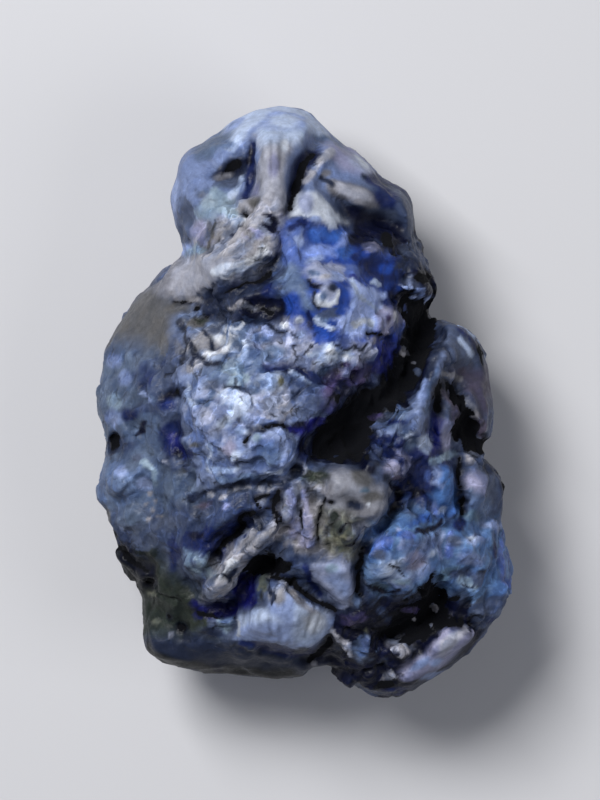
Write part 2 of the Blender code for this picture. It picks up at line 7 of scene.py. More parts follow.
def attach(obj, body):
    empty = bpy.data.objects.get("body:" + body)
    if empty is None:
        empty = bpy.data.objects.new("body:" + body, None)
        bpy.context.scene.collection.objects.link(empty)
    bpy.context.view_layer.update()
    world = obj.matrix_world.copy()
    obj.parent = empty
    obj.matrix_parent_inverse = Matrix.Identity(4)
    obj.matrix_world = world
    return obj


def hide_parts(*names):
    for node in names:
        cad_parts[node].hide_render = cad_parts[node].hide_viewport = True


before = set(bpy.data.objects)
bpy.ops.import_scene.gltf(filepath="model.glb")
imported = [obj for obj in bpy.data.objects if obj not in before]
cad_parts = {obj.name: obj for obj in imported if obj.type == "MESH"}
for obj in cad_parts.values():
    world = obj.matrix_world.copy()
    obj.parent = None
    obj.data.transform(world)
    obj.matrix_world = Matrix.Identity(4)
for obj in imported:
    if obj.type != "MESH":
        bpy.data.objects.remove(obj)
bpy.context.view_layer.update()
bpy.ops.object.select_all(action="DESELECT")

# The stone.
# A rough sapphire as it left the ground: blue corundum with grey spar grown through it, split by deep dark clefts.
# It starts from the solid itself, evened out to fine faces, and the crumpled surface is then moved in by the listed
# forms and by small plates that each lean their own way. All sizes here are in millimetres.
MM = 0.001
COARSE_STEP = 0.37
FINER_ABOVE = 8.6
EVENING_ROUNDS = 3
EVENING_SHARE = 0.7

TINTS = {
    "black": "#03040A", "ink": "#060A22", "navy": "#14204C", "royal": "#1F3D8A", "cobalt": "#32569E",
    "indigo": "#0F1150", "ultramarine": "#1A2268", "denim": "#4C609A", "marine": "#42659C", "azure": "#7388C4",
    "sea": "#52709C", "steel": "#546584", "flank": "#4C5A72", "periwinkle": "#66759A", "sky": "#8292BA",
    "ice": "#A0AEC8", "mist": "#788A9C", "lavender": "#8E96B2", "lilac": "#7C7E9A", "purple": "#363050",
    "mauve": "#484456", "spar": "#9294A0", "pewter": "#7E808A", "host": "#6E6F78", "dusk": "#444E66",
    "storm": "#343F5A", "glass": "#A2B4E4", "slate": "#20273A", "khaki": "#5E6054", "olive": "#242A26",
    "umber": "#525254", "soot": "#17191B", "teal": "#50677C", "white": "#B4BBC8",
}

# The forms, one to a row: tint, kind, size, rise, and its places seen from above. An area has a soft edge, a line a
# half-width, and an oval two radii and at times a turn in degrees. Later forms lie over earlier ones.
# Dark and light patches that lie over all the rest: some are the stone's own tones, some are painted shade and painted
# light.
# Grounds. The slate ground along the foot is partly painted shade on the ledge.
# Some forms are painted light and shade: the black forms and some dark slate, navy, storm, indigo and purple ones lie
# partly as painted shade in clefts, hollows and on faces turned from the lamp, and some pale ones are painted light on
# walls that the lamp leaves in shade.
# Spar on the upper left, crumbly above and smooth below, over a dark gap that is partly painted shade, with painted
# light on its shaded lower wall.
# The crumbly pale belt below the boss, and painted purple shade on the boss's steep lower face.
# The great black cleft, its black partly painted shade, and what stands in it.
# The lower left: a dark grey-green slope with pale lumps and holes, over a smooth slate ledge, its darkness partly
# painted shade.
# The lower right: a knobbly blue ball, a second lump beside it and a black hollow under them, partly painted shade.
# The narrow end: a rounded cap over a hollow, a pale pillar and dark clefts, with painted shade on some slopes and
# painted light on the pillar's top.
# The pale blue block at the foot, with painted navy shade on its underside and a corner, and the lavender block beside
# it.
FORMS = """
# Grounds.
dusk area 2 0 -20,-25 20,-25 20,25 -20,25
periwinkle area 1.2 0 -11,12.5 -7.4,11.4 -1,14 3,14 6,17 2,24 -8,24 -12,18
pewter area 0.8 0 -10.4,8.2 -7,8.8 -4.6,8.4 -2.6,8.9 -1.3,10.2 -1.2,13.4 -3.5,14.5 -5.2,13.2 -7,12.6 -8.6,10.8
umber area 1.4 0 -14.5,5.5 -11,8.8 -9.4,7.6 -8.4,6 -8.6,4 -9.6,2.4 -12,3.6 -13.6,3.2
flank area 1.2 0 -16,4 -11.6,3.8 -9.8,2.4 -9,-2 -9,-6 -10,-8 -16,-8
periwinkle area 1 0 -8.8,5.4 -4.4,5.6 -0.6,4.6 1.6,2 0.6,-0.6 -0.2,-2 -0.6,-5.2 -5.2,-6.1 -7.6,-6 -8.8,-2 -9,1
steel area 1.2 0 -8.4,5.6 -4,6 0,4.6 -0.4,1.8 -2.4,1.6 -4.4,1.2 -7.4,0.8
lavender area 1 0 -6.6,0.8 -4.6,1.2 -1.6,0.8 -0.8,0 -3.2,-1.4 -6.4,-2.4 -7.4,-0.6
storm area 0.6 -0.05 -10.6,2 -9.2,2.8 -8.7,1 -8.4,-2 -7.9,-4.8 -8.4,-6.2 -9.8,-5 -9.8,-1.6
steel area 0.8 0 -14.6,-4.8 -10.4,-4.6 -9.8,-6.8 -12.2,-7.6 -14.8,-7
royal area 0.8 0 -1.4,12.6 0.8,12.2 3.2,12 5.4,10.6 7.4,9.8 7.2,7 7,4 5.8,2.6 2.4,2.2 0.4,3.4 -1.4,5.6 -1.8,9
ink area 0.8 0 -1.8,8.4 -0.8,7 -1,5.4 -3.2,5.2 -7,5.4 -7.6,7 -5,7.9
dusk area 1 0 9.4,7 16,6 16,-5 9.2,-5.6 8.2,-2.4 9.4,2.2
navy area 1 0 4.6,-2.6 8.6,-2 10.6,-3.6 11.4,-8.4 8.6,-8.2 6.4,-7.2 6,-4.8
host area 0.6 0 -1.8,-6 0.6,-6 2.2,-4.9 3.4,-5.2 5.8,-6.6 5.8,-8 4.4,-10.6 3.8,-11.4 0,-11.4 -1.4,-10.6 -2.2,-8.6
olive area 0.9 0 -15,-9.8 -11.4,-9.6 -9.4,-12 -7.4,-13 -6.8,-15.2 -6,-17.2 -13,-17.2
slate area 0.5 0 -13,-16.9 -8,-17 -4.6,-17.3 -2,-17.7 0.4,-18.6 2.4,-19.2 2,-21 -6,-22 -13,-21
sea area 1 0 4.4,-9.4 6.4,-7.8 9.4,-7.9 10.4,-9.2 10,-12.6 8.6,-14 5.4,-14 4.2,-11.6
sea area 1 0 9.8,-8.6 16,-8 16,-16 12.6,-15.6 9.8,-13
storm area 0.9 0 -9,-8 -4,-6.4 -1.6,-6.2 -2,-8 -5,-10.4 -8.6,-10.4
navy area 0.7 0 -9.4,-9.8 -5,-9.4 -3.6,-8.4 -5,-11.4 -6.4,-13.4 -8,-12.6
ink area 0.7 0 2,-15.2 5,-13.8 9,-14.2 12.6,-15.2 13.2,-17 6.6,-21.8 2.6,-20.4 0.6,-18.6
# The narrow end: a rounded cap over a hollow, a pale pillar and dark clefts.
sky area 0.8 0 -6,18.4 -3.4,18.6 0,19 1.4,19.6 0.6,22 -4,22 -6.4,19.6
ice line 0.6 0.05 -5.2,17.9 -4.3,18.9 -3.2,20.2
ice oval 1.3,0.6 0.04 -1.3,19.7
ice line 0.4 0 -3.8,20.2 -2.2,20.8 -0.6,20.8
mist line 0.3 -0.03 -2.8,18.8 -1.5,18.7 -0.2,18.7
steel oval 1.7,0.7,-20 0 1.8,18.6
flank oval 1.9,0.9,30 0 -6.5,18
periwinkle oval 0.6,1.6 0 -8,16
dusk oval 0.8,1.3,8 -0.1 -8.2,13.1
sky line 0.4 0 -9.3,13.4 -9.2,14.4 -9,15.4
mist oval 0.8,1 0 -6.9,13.4
lilac oval 0.9,0.8 0.1 -7.2,11.6
dusk oval 0.7,1.1 0 -8.5,11.4
dusk oval 0.35,0.7 -0.05 -6.5,11.8
slate area 0.4 -0.1 -6.4,15.9 -5.2,16.9 -4.1,17.3 -3.7,16.2 -4.3,15.2 -5.9,15.1
black oval 0.9,0.5,25 -0.15 -4.9,16.4
host oval 0.8,0.35,10 0 -5.6,15.7
flank oval 0.9,0.35 0 -5.3,15
steel oval 0.6,0.4 0 -7,14.4
mist oval 1.2,0.8,20 0.05 -6,13.9
ice line 0.25 0.1 -5.1,14.3 -4.6,14.7 -4.3,15.5
spar area 0.35 0.15 -3.4,18.6 -0.3,18.6 -0.9,17.2 -1.3,15.6 -1.2,14.2 -1.7,13.2 -3.6,13.6 -3.4,15.4 -3.1,17
lilac oval 0.5,1.1 0 -2,16.4
ice area 0.5 0.05 -3.2,19.1 0.2,19.2 -0.3,18 -3,17.8
lilac oval 0.35,0.9 0 -3.3,14.6
host oval 0.6,0.5 0 -3.3,14
navy line 0.4 -0.3 -3.6,18 -3.7,16.4 -3.8,15 -4,14.3
ink line 0.22 -0.1 -3.7,17.6 -3.8,16.6
navy area 0.35 -0.1 1.2,17.8 1.2,17.1 0.4,16 -0.2,14.8 -0.7,13.2 -1.3,13.2 -0.9,15 -0.7,16.4 -0.3,17.2 0.3,17.7
black line 0.4 -0.1 0.6,17.2 0,16.5 -0.3,15.6 -0.6,14.2 -0.9,13.5
lilac oval 1.6,0.8,-35 0 2.8,17.2
lilac area 0.5 0 2.8,18 4,17.8 6.2,15.4 5,15.5 3,16.4
spar line 0.38 0.15 2,17.5 1.2,16.5 0.3,15.4
host oval 0.5,0.3,20 0 1.7,15.9
slate line 0.3 -0.1 1.4,15.6 2.2,15.2 2.8,14.3
slate line 0.35 0 4.4,15.8 5.4,15.6 6.6,15.1
host line 0.75 0.1 2.2,15 3.4,14.6 4.8,14
spar line 0.45 0.05 2.6,15 3.6,14.6 4.6,14.2
white area 0.25 0.1 -0.4,14.5 0.9,14.5 3.3,12.4 2,12.1 0.8,12.7 -0.9,13
lavender oval 0.6,0.9,10 0 0.2,13.8
navy oval 1.3,0.9,-30 0 5.9,14.2
storm oval 1.2,0.7,-30 0 6.1,15
navy line 0.45 0 4.8,15.6 5.8,15 6.6,14.4
storm oval 0.7,1.5,10 0.05 7.2,13.2
ink area 0.4 -0.1 2,14.6 3.2,13.9 4.4,13.4 5.6,13.2 7.2,12.4 7.7,10.9 6.9,9.9 5.9,10.6 5.6,11.2 4.1,11.2 3.4,12.4 \
2.6,13.6
lavender oval 1.1,0.6,-40 0 4.1,16.7
white oval 1,0.4,-45 0 4.3,16.9
ice oval 1,0.6,-35 0 1.1,19.5
ice oval 1,0.45,-20 0 0.1,20.4
dusk oval 1,0.5 0 -5,15.2
steel oval 0.6,0.4 0 -5.4,18
white oval 0.5,0.25,-30 0 1.9,12.7
# Spar on the upper left, crumbly above and smooth below, over a dark gap.
sky oval 0.8,0.5,30 0 -8.3,10.5
white oval 0.7,0.5 0.05 -4.7,12.5
lilac oval 0.7,0.5 0.05 -3.6,11.6
black oval 0.28,0.22 -0.2 -4.1,13
ink line 0.25 -0.2 -2.6,13 -2.1,12.8 -1.8,12.4 -2,11.9 -2.6,12.2
slate oval 0.25,0.2 -0.15 -5,11.4
host line 0.25 -0.1 -6.6,12.4 -6.3,11.5 -5.6,11
host line 0.3 -0.1 -4.4,12.2 -3.6,11.4 -3.4,10.4
spar line 0.6 0.1 -5.6,8.9 -4.2,9.4 -2.9,10.1
spar area 0.3 0.1 -10.2,7.9 -9.5,8.9 -8.3,9.9 -7,10.2 -5.4,9.6 -5,9 -6.2,8.4 -7.1,7.5 -8.2,7.1 -9.8,7.3
slate area 0.4 -0.05 -7.1,7.2 -6.4,7.8 -4.6,8.3 -2.8,8.8 -1.9,9.9 -1.3,9.6 -1.4,8 -1.2,6.4 -3.4,6 -6.6,5.4 -7.4,6.4
black line 0.2 -0.1 -9,6.8 -8.2,6.7 -7,6.8 -6,7.3 -4.6,7.8 -3,8.3 -2,9.1
white line 0.4 0.05 -5.6,8.7 -4.7,8.9 -3.7,9.4 -2.6,10.2
host oval 0.9,1.5,-15 0 -9.9,8.5
spar oval 0.4,0.5 0 -2.2,10.7
ink area 0.5 -0.05 -4.4,7.4 -2,7.8 -1,6.6 -1.2,5.6 -3,5.4 -4.6,6.2
slate oval 0.9,0.6,10 0.1 -6.2,7.4
slate oval 0.8,0.5,30 0.05 -2.6,9.8
slate oval 0.7,0.5 0.05 -3.9,7.4
navy oval 0.9,0.6 0 -2.1,7.6
host line 0.2 0.1 -5.2,6.3 -4.2,6.6 -3.4,6.2
host oval 1.2,0.3,-8 0.1 -7.9,6.9
umber oval 0.8,0.5 0 -9.2,6.3
black oval 0.28,0.25 -0.15 -7.7,6.2
black oval 0.25,0.25 -0.15 -6.8,5.7
slate line 0.25 -0.1 -8.7,5.4 -8.3,4.6 -8.2,3.6 -8.6,2.6
host oval 0.4,0.8,15 0.05 -8.9,3.6
# The left flank: soft lumps of blue, grey and grey-green.
periwinkle oval 0.6,0.7 0.05 -13.4,2.6
periwinkle oval 0.6,0.6 0.05 -12.6,1.5
navy area 0.8 0 -11.8,0.9 -11.3,2.4 -10.4,2.2 -10,0.7 -11.2,0.5
dusk oval 0.9,0.9 0 -10.1,1.2
sky line 0.2 0.1 -11.6,0.4 -11,0.1 -10.6,-0.5
ink oval 1,0.55,20 -0.1 -9.3,0.3
black oval 0.4,0.3 -0.15 -9,0.5
storm line 0.5 -0.1 -10.1,-0.6 -11.4,-0.6 -12.6,-1.1
mist oval 0.5,0.7 0.05 -13.3,-0.2
periwinkle oval 0.8,0.7 0.1 -13.4,-1.5
navy oval 0.7,0.5 -0.05 -12.2,-1.2
ink line 0.3 -0.15 -11.3,-1.8 -11.6,-2.5
dusk oval 0.7,1.3 0 -9.6,-1.4
slate oval 0.8,1.1 0 -13.5,-3.4
storm oval 0.8,0.8 0 -12.5,-3.3
black area 0.35 -0.2 -13.7,-2.8 -12.8,-2.7 -12.7,-3.4 -13.4,-3.6
flank oval 1.2,1 0.05 -11.8,-4.2
navy line 1.1 -0.1 -9.4,-2.4 -8.9,-3.5 -8.5,-4.8
ultramarine line 0.4 -0.05 -9.4,-2.7 -8.9,-3.5 -8.2,-4.3
ink line 0.35 -0.05 -8.9,-4 -8.6,-4.9
navy oval 0.8,0.6 0 -9.4,-0.4
slate oval 0.7,0.8 0 -9.3,-4.8
navy oval 0.5,0.7 0 -8.1,-3.9
spar line 0.15 0.1 -9.7,-4.5 -9.2,-4.9
umber oval 0.7,0.6 0 -8.5,-5.4
steel area 0.4 0.1 -14.6,-4.8 -12.6,-4.6 -12.2,-5.6 -12.4,-7 -13.4,-7.6 -14.8,-7.2
sky oval 0.5,0.5 0.05 -12.8,-5.3
mist line 0.28 0.1 -11,-4.6 -10.5,-5.2 -10.3,-6
flank area 0.5 0 -9.8,-4.7 -7.6,-5.2 -7.3,-7 -9.4,-7.8 -10.2,-6.6
flank oval 1.2,1 0.1 -12.2,-8.3
host oval 0.24,0.2 0.1 -10.8,-6.6
host oval 0.22,0.22 0.1 -10.4,-7.2
host oval 0.26,0.18,30 0.1 -11.1,-7.5
host oval 0.2,0.24 0.1 -10.7,-8
host oval 0.24,0.2 0.1 -11,-8.7
host oval 0.3,0.25 0.1 -10.3,-8.5
# The bulge in the middle: the brightest part, crumpled into small flakes.
pewter area 0.5 0 -8.2,4.8 -6,4.9 -5.4,3.4 -6.4,2.2 -8.2,1.8
slate line 0.2 -0.1 -8,4.2 -7.6,3.4 -7.7,2.4
slate line 0.16 -0.1 -6.9,4.8 -6.4,4.2 -6.5,3.4
white oval 0.7,0.5,-20 0.1 -6.3,3
white oval 0.6,0.4,-20 0.1 -5.9,4.2
white line 0.25 0.1 -5.6,4.9 -4.9,4.9 -4.4,5.2
slate line 0.2 -0.1 -7.4,3.2 -6.8,2.4 -5.6,2.2
periwinkle oval 1.6,0.7 0.05 -2.9,4.4
ice line 0.3 0.12 -5.2,3.5 -4.4,3 -4.2,2.4
ice line 0.25 0.12 -4.1,3.9 -3.9,3.2
mist area 0.4 0 -5.6,2.2 -4.4,2.4 -3.4,1.6 -3.6,0.8 -5.4,0.6 -6.4,1.2
sky line 0.25 0.1 -7.3,1.8 -7.1,1 -7.2,0.4
ice area 0.4 0.1 -3.2,1.7 -1.8,1.9 -1.2,1 -1.5,0.2 -2.6,0.4 -3.2,1
khaki oval 0.35,0.25,20 0 -1.6,1.2
spar area 0.4 0.05 -2.8,0.2 -1.2,0.2 -0.4,-0.6 -1,-1.4 -2.4,-1.6 -3,-0.8
ice area 0.5 0.1 -5.8,0.5 -4.4,0.4 -3.6,-0.4 -4,-1.4 -4.9,-1.2 -5.8,-0.2
ice line 0.25 0.1 -8.2,0.9 -8,0.1 -7.4,-0.5
lavender oval 0.7,0.7 0.1 -6.2,-1.3
steel line 0.3 -0.1 -7.2,-0.2 -6.6,-0.4 -6.2,0.4
slate line 0.18 -0.12 -5.4,0.7 -4.6,0.8 -3.6,0.4
slate line 0.16 -0.12 -3.4,4.6 -2.8,4.9
navy line 0.55 -0.2 -2.4,2.3 -1.2,2.1 0.2,1.8 1.1,1.3
ice line 0.22 0.12 -0.6,1.8 0.2,1.2 1,0.4
storm area 0.4 0 -0.4,1.2 0.8,1.2 2,0.4 1.4,-0.8 0.4,-0.2
lilac oval 0.6,1,20 0 -4.9,-3.6
ice oval 0.8,0.35,30 0.05 -4.4,-3.9
lavender oval 0.9,0.8 0.05 -5.4,-2.6
ice line 0.22 0.1 -6.7,-3.2 -6.5,-4 -6.8,-4.6
ice line 0.3 0.05 -6.6,-5.1 -5.6,-5.2 -4.6,-4.9
umber oval 0.6,0.25,20 0 -7.4,-3.1
steel oval 0.9,0.6 0 -3.4,0.8
ice oval 0.6,0.4 0 -5.7,-1.8
steel oval 1.1,0.6,20 0 -5.9,1.2
storm line 0.25 0 -3.7,-2 -2.9,-1.8 -2,-1.75
umber oval 1.1,0.5 0 -7.4,5.3
ice oval 0.7,0.5 0 -5,4.4
ice oval 0.4,0.3 0 -3.9,2.7
# A blue knob on its lower edge, under a thin black crescent.
periwinkle oval 1.8,1.7 0.15 -2.3,-3.6
sky line 0.35 0.1 -3.4,-3.2 -2.8,-2.4 -1.8,-2.3 -1,-2.8 -0.8,-3.8 -1.4,-4.6
steel oval 0.8,0.9 0 -2.4,-3.7
mist oval 0.4,0.3 0 -2.9,-2.6
black line 0.2 -0.25 -3.8,-3 -3.3,-2.2 -2.5,-1.9 -1.3,-1.95 -0.2,-2
ice line 0.22 0.1 -1.5,-4.9 -2.3,-5.1 -3,-5.3
navy oval 0.6,0.9 -0.1 0.1,-3.6
ink oval 0.5,0.6 -0.1 -0.5,-5
steel line 0.3 0 -5.8,-5.8 -4.6,-5.8 -3.2,-5.6
slate oval 0.7,0.4 0 -1.2,-6
# The blue boss, with a ring-shaped growth on it.
denim area 0.5 0.1 -1.2,12.2 0,12 0.4,11 1.6,10.6 2.2,10.2 1,9.6 0.2,9 -0.6,8.2 -1.6,8.8 -1.4,10.4
sky oval 0.4,0.9 0.05 -0.3,11.3
navy oval 0.6,0.3,10 0 -0.1,12.3
sky oval 0.4,0.25 0 0.9,12.6
cobalt area 0.3 0.05 0.4,12 1.8,12 3,11.8 3.2,11 1.9,11 0.7,11.1
azure line 0.5 0.1 0.4,10.1 1.2,10.5 2.2,10.3 3.2,11.4
cobalt oval 0.9,0.6,20 0 2.9,10.4
ink oval 0.5,0.5 -0.05 4.4,9.6
ink oval 1.1,1.1 0 4.1,11.4
navy area 0.5 0 3.9,10.2 6.4,10 6.8,8.6 6,7.9 4.6,8.6 3.8,9
denim oval 0.9,0.6 0.05 3.4,9
royal oval 0.6,0.5 0.05 5.8,9.2
ultramarine oval 0.4,0.3 -0.05 3.5,8.4
sky oval 0.7,0.3,20 0.05 0.8,9.7
steel oval 0.7,0.9 0 -0.6,8.6
sky oval 0.7,0.4,20 0.05 -0.3,7.9
steel area 0.4 0 -1.8,9.2 -0.1,8.9 0.5,7.2 0.9,6.2 0.1,6.2 -0.1,7.2 -1.5,7.6
royal oval 0.7,0.8 0 -0.8,6.8
steel oval 0.7,0.6 0 1.4,5.5
lavender area 0.25 0.15 0.1,8.9 0.6,9.4 1.8,9.5 2.8,9.3 3.1,8.4 2.6,8.1 2.1,8.2 1.6,7.9 1.2,8 0.8,8.3 0.4,8.2
spar oval 0.45,0.25,15 0 1.5,8.5
steel oval 0.5,0.2 0 0.8,8.8
ink line 0.2 -0.2 0.4,8.3 0.7,7.9 1.3,7.8
slate line 0.16 -0.1 0.8,7.6 0.75,6.9 1.2,6.4
lavender oval 0.8,0.75 0.15 1.8,7.3
slate oval 0.45,0.4,-30 -0.1 2.1,7.7
white line 0.3 0.15 1.1,7.2 1.3,6.8 1.8,6.6 2.4,6.8 2.6,7.4
royal line 0.25 -0.1 2.9,8.1 2.85,7.4 2.7,6.7
storm oval 0.9,0.4 0 1.9,6.05
royal area 0.3 0 2.9,7.2 3.6,7 3.4,6 2.2,5.7 2.1,6.1 2.7,6.5
glass area 0.3 0.1 3.2,8.4 4.4,8.1 5.9,7.4 5.7,6.3 4.4,6 3.7,6.8
ice line 0.22 0.1 3.4,8.2 3.8,7.5
ice line 0.2 0.1 5,8.3 5.5,8
ice line 0.22 0.1 4,7.2 4.8,6.6 5.2,6.1
glass line 0.4 0 3.7,6.6 4.4,6.3
glass area 0.3 0.15 2.2,5.5 3.4,6.2 5,6.2 5.5,5.2 4.6,4.3 2.8,4.4
white line 0.3 0.1 3.4,5.3 4.2,5.5 4.9,5.2
navy line 0.25 -0.15 0.3,6.1 0.5,5.3 0.7,4.7
royal oval 0.8,0.5 0.05 1.2,4.5
royal oval 0.5,0.3 0.05 2.7,4.2
ice line 0.2 0.1 0.9,5.6 1.2,5.2 2.2,4.8
host oval 0.5,0.4 0 6.7,7
# The crumbly pale belt below the boss.
lavender area 0.5 0.05 -3.8,4.1 -1.9,5 -0.3,5.6 0.2,4.8 1,4 2.4,3.8 5,4.4 5.4,3 3.6,2.2 2.4,1.8 0.4,2.4 -2,2.6
steel oval 1.1,0.6 0 -2,3.2
steel oval 0.9,0.5 0 -3,4.2
periwinkle oval 0.6,0.4 0 -0.2,4.5
white oval 0.35,0.28 0.1 -0.3,5.6
white oval 0.4,0.25,20 0.1 -1.2,5.3
white line 0.2 0.1 0.2,3.2 1,3.3 1.6,2.9
ice area 0.4 0.1 1.2,3.9 2.8,4 3.8,3.2 2.6,2.3 1,2.8
white oval 0.4,0.3 0.1 3.3,2.9
white oval 0.4,0.25 0.1 2,3.4
white oval 0.5,0.25,20 0.1 4.9,3.1
spar oval 0.3,0.3 0.1 5.1,3.9
slate line 0.14 -0.15 -2.4,5.2 -1.6,4.8 -0.8,4.9 -0.3,4.4
slate line 0.16 -0.15 2.4,3.7 3,3.4 3.6,3.8 4.2,3.5 4.6,3.9
ink oval 0.2,0.16 -0.1 0.5,3.7
ink oval 0.22,0.14 -0.1 -0.6,3.7
slate oval 0.3,0.2 -0.1 2.1,2.7
navy area 0.5 0 2,1 3.2,0.9 2.4,-0.6 1.4,-0.8
purple area 0.5 0 1.2,2.4 2.6,2.4 5.2,2.6 5.8,1.8 4,1 2.6,0 1.6,-0.6 1,0.6
ultramarine area 0.6 -0.1 5.4,4.2 6.8,4.4 7.4,2.6 6.4,1.2 5.2,1.6 5.2,3
ink oval 0.8,0.6,20 0 2.7,0.6
purple oval 0.6,0.3 0 3.2,2.3
lilac oval 0.4,0.25,20 0.1 3.1,1.7
lilac oval 0.4,0.2 0.1 3.4,0.4
indigo oval 1.3,0.8,30 0 0.2,-1.9
ink oval 0.6,0.4 0 -0.2,-1.7
storm oval 0.6,0.4 0 -0.5,0.2
navy oval 0.6,0.9 0 6.4,7.1
lilac area 0.25 0.1 5,6 5.8,6.6 6.7,6.3 6.9,5.4 6.4,4.7 5.4,4.8
purple oval 0.25,0.4,-15 -0.05 6.1,5.7
spar line 0.15 0.1 6.5,6.1 6.6,5.4
navy oval 0.7,0.45 0 6.1,6.8
dusk oval 0.8,0.45 0 2,5.95
black line 0.16 -0.15 4.6,4.6 5.4,4.4 6.2,4.5
# The great black cleft and what stands in it.
ink area 0.5 -0.1 6.2,8.8 7.4,8.8 8.6,8.9 10.4,7.6 9.8,4.4 9.3,2.6 8.6,0.8 7.6,-0.2 6.2,-1.2 5,-2 4.6,-3.4 4.4,-4.8 \
2.2,-4.6 0.4,-4.6 0.2,-3 1.4,-1.4 3,0.4 5.4,1.2 6.8,2.2 7.2,4.4 7,6.4
black area 0.35 -0.2 7,7 10.2,7 9.4,5 8.8,2.8 8,0.8 6.8,-0.2 5.4,-1.2 4.7,-2.2 4.3,-4.2 2.2,-4.3 0.9,-4.1 1.2,-2.4 \
2.4,-0.8 4.4,0.6 6.4,1.6 7.4,4.4
slate oval 0.9,1.1 0 7.5,9.6
sky area 0.25 0.15 6.8,8.3 7.4,8.5 8.7,7.7 8.7,7.1 7.9,7.3 7,7.7
ink area 0.3 -0.05 7.4,9.4 9.4,9.4 9.9,7 9,7.3 8.5,8.1 7.4,8.7
lilac oval 0.7,0.4 0.1 4.9,10.7
ink oval 0.6,0.5 0 6.1,11.2
ink oval 0.6,0.6 -0.05 8.6,8.7
ink oval 0.5,0.7 0 9.1,7.4
host oval 0.25,0.5,15 0.15 7.4,3.3
host oval 0.22,0.25 0.15 7.9,2.6
dusk oval 0.3,0.4 0.1 8.1,1.9
purple oval 0.5,0.35 0.1 5.1,-1.3
ink oval 0.9,0.6,-30 -0.1 4.5,-4.8
slate oval 0.4,0.4 0.15 5,-4.5
slate oval 0.35,0.25 0.1 2.4,-3.8
# The right flank: a pale prism and slate-blue crystals with black gaps.
steel area 0.25 0.1 5.9,-0.9 6.6,-0.2 7.4,-0.9 8,-0.8 8,-1.8 6.4,-1.6
periwinkle area 0.25 0.1 5,-2.2 6,-1.4 6.7,-2.8 6.2,-3.1 5.2,-2.7
navy line 0.35 0 5.5,-2.9 6.7,-2.7
navy area 0.25 0 4.9,-2.6 6.2,-3 6.9,-3.4 6.2,-3.8 5.2,-3.4
steel area 0.25 0.1 6.4,-1.8 8,-2 8.2,-3 7.4,-3.4 6.7,-2.6
navy line 0.25 -0.05 6.4,-1.6 7.2,-1.8 8,-1.7
periwinkle area 0.25 0.15 9.9,3.2 9.7,1.4 9.2,0.2 8.9,-1.2 8.6,-2.6 7.9,-2.4 7.7,-1.2 7.8,-0.2 8.5,0.9 9.2,2.2
sky line 0.2 0.05 8.9,1.6 8.3,0.4 8.1,-0.8
steel line 0.2 -0.03 9.5,2.2 8.9,0.4 8.7,-1
ice line 0.2 0.1 7.8,-2.4 7.4,-2.8
black oval 0.5,0.5 0 4.6,-2.2
black oval 0.4,0.4 0 4.5,-3.9
ultramarine area 0.3 0 8.9,-1 9.8,-1.4 9.8,-3 9.3,-3.8 8.5,-4.2 8.2,-3.4 8.8,-2.6
ice oval 0.5,0.7,10 0.1 8.7,-3.2
lilac oval 0.5,1.3,5 0.05 10.2,-2.6
navy area 0.3 0 7,-3.4 8.2,-3.4 8.4,-4.4 7.6,-4.2
lilac oval 1,0.9 0.15 6.6,-4.8
mauve oval 0.6,0.25 0 6.8,-5.7
slate oval 0.4,0.5 0 5.9,-5.6
black line 0.5 -0.15 9.7,1 9.6,0 9.5,-0.8
mauve line 0.35 0.1 10.1,0.4 10.6,-0.6 10.9,-1.9
dusk area 0.6 0 9.8,5.2 11.2,5.2 11.6,3.4 11.2,2.4 10,2.4
navy line 0.3 0 11.2,5 12,4.4 12.5,3.6
ice line 0.32 0.1 11.3,4.2 11.7,3.8 12.1,3.2
black line 0.35 -0.1 12.5,4 12.9,2.9 13,2
mauve area 0.5 0.05 10.6,2.2 12.6,2.2 13.4,1 13.4,-1.6 12.4,-0.6 11.4,0.8
host line 0.25 0.1 10,1.8 10.7,1.7 11.2,1.4
host line 0.32 0.15 11.5,0.1 12.1,-0.9 12.9,-2.1
black area 0.25 -0.25 10.2,1.2 11,1.1 11.6,-0.2 12.3,-1.6 13.1,-2.6 13.3,-3.6 12.2,-3.9 11.5,-3.4 10.9,-2.6 11,-1.2 \
10.6,-0.1
host oval 0.6,0.5 0.15 11.9,-4.2
mist line 0.35 0.1 9.2,-4.5 10.2,-4.1 10.8,-3.9
navy area 0.3 0 8,-4.8 8.9,-4.9 9,-6.4 8.8,-7.2 7.9,-6.9 8,-5.8
ink oval 0.6,0.3 -0.1 8.3,-6.7
marine area 0.3 0 9.8,-4.8 10.9,-5 11.1,-8 9.8,-8.1 9,-6.8 9.6,-6.4
periwinkle area 0.25 0.1 9,-4.8 9.9,-4.8 9.8,-6.5 9.1,-6.2
ice line 0.3 0.1 9.2,-7.9 9.9,-7.8
denim oval 0.3,0.5 0 8.8,-5.5
black line 0.25 -0.2 11.1,-4.2 11.2,-5.6 11.2,-6.8 11.3,-8.2
lilac area 0.35 0.1 11.6,-5.4 12.4,-5 13.2,-5.8 13.2,-6.6 11.8,-6.5
steel area 0.4 0 11.6,-6.6 13.2,-6.7 13.6,-8.4 12,-8.8
slate oval 0.5,0.6 0 9.8,4.7
slate line 0.35 0 9.5,3.7 9.3,2.6 8.9,1.5
slate oval 0.8,0.7 0 13.4,-4.9
dusk line 0.4 0 13.4,-5.8 13.8,-7 13.7,-8
teal oval 0.8,0.5,20 0.05 12,-8.4
black line 0.25 -0.1 13.6,-4.8 14.2,-5.8 14.4,-6.8
sky oval 0.8,0.4,-20 0.1 13.4,-9
# Grey host rock in the middle, with grooves running up and down it.
pewter area 0.5 0.1 1.9,-5.5 2.8,-5.1 3.8,-5.7 5.3,-6.4 5.7,-7.4 5,-8.4 4.4,-7 3.2,-7 2.4,-7.8 2.1,-6.6
olive oval 1.1,0.7 -0.05 0.8,-5.4
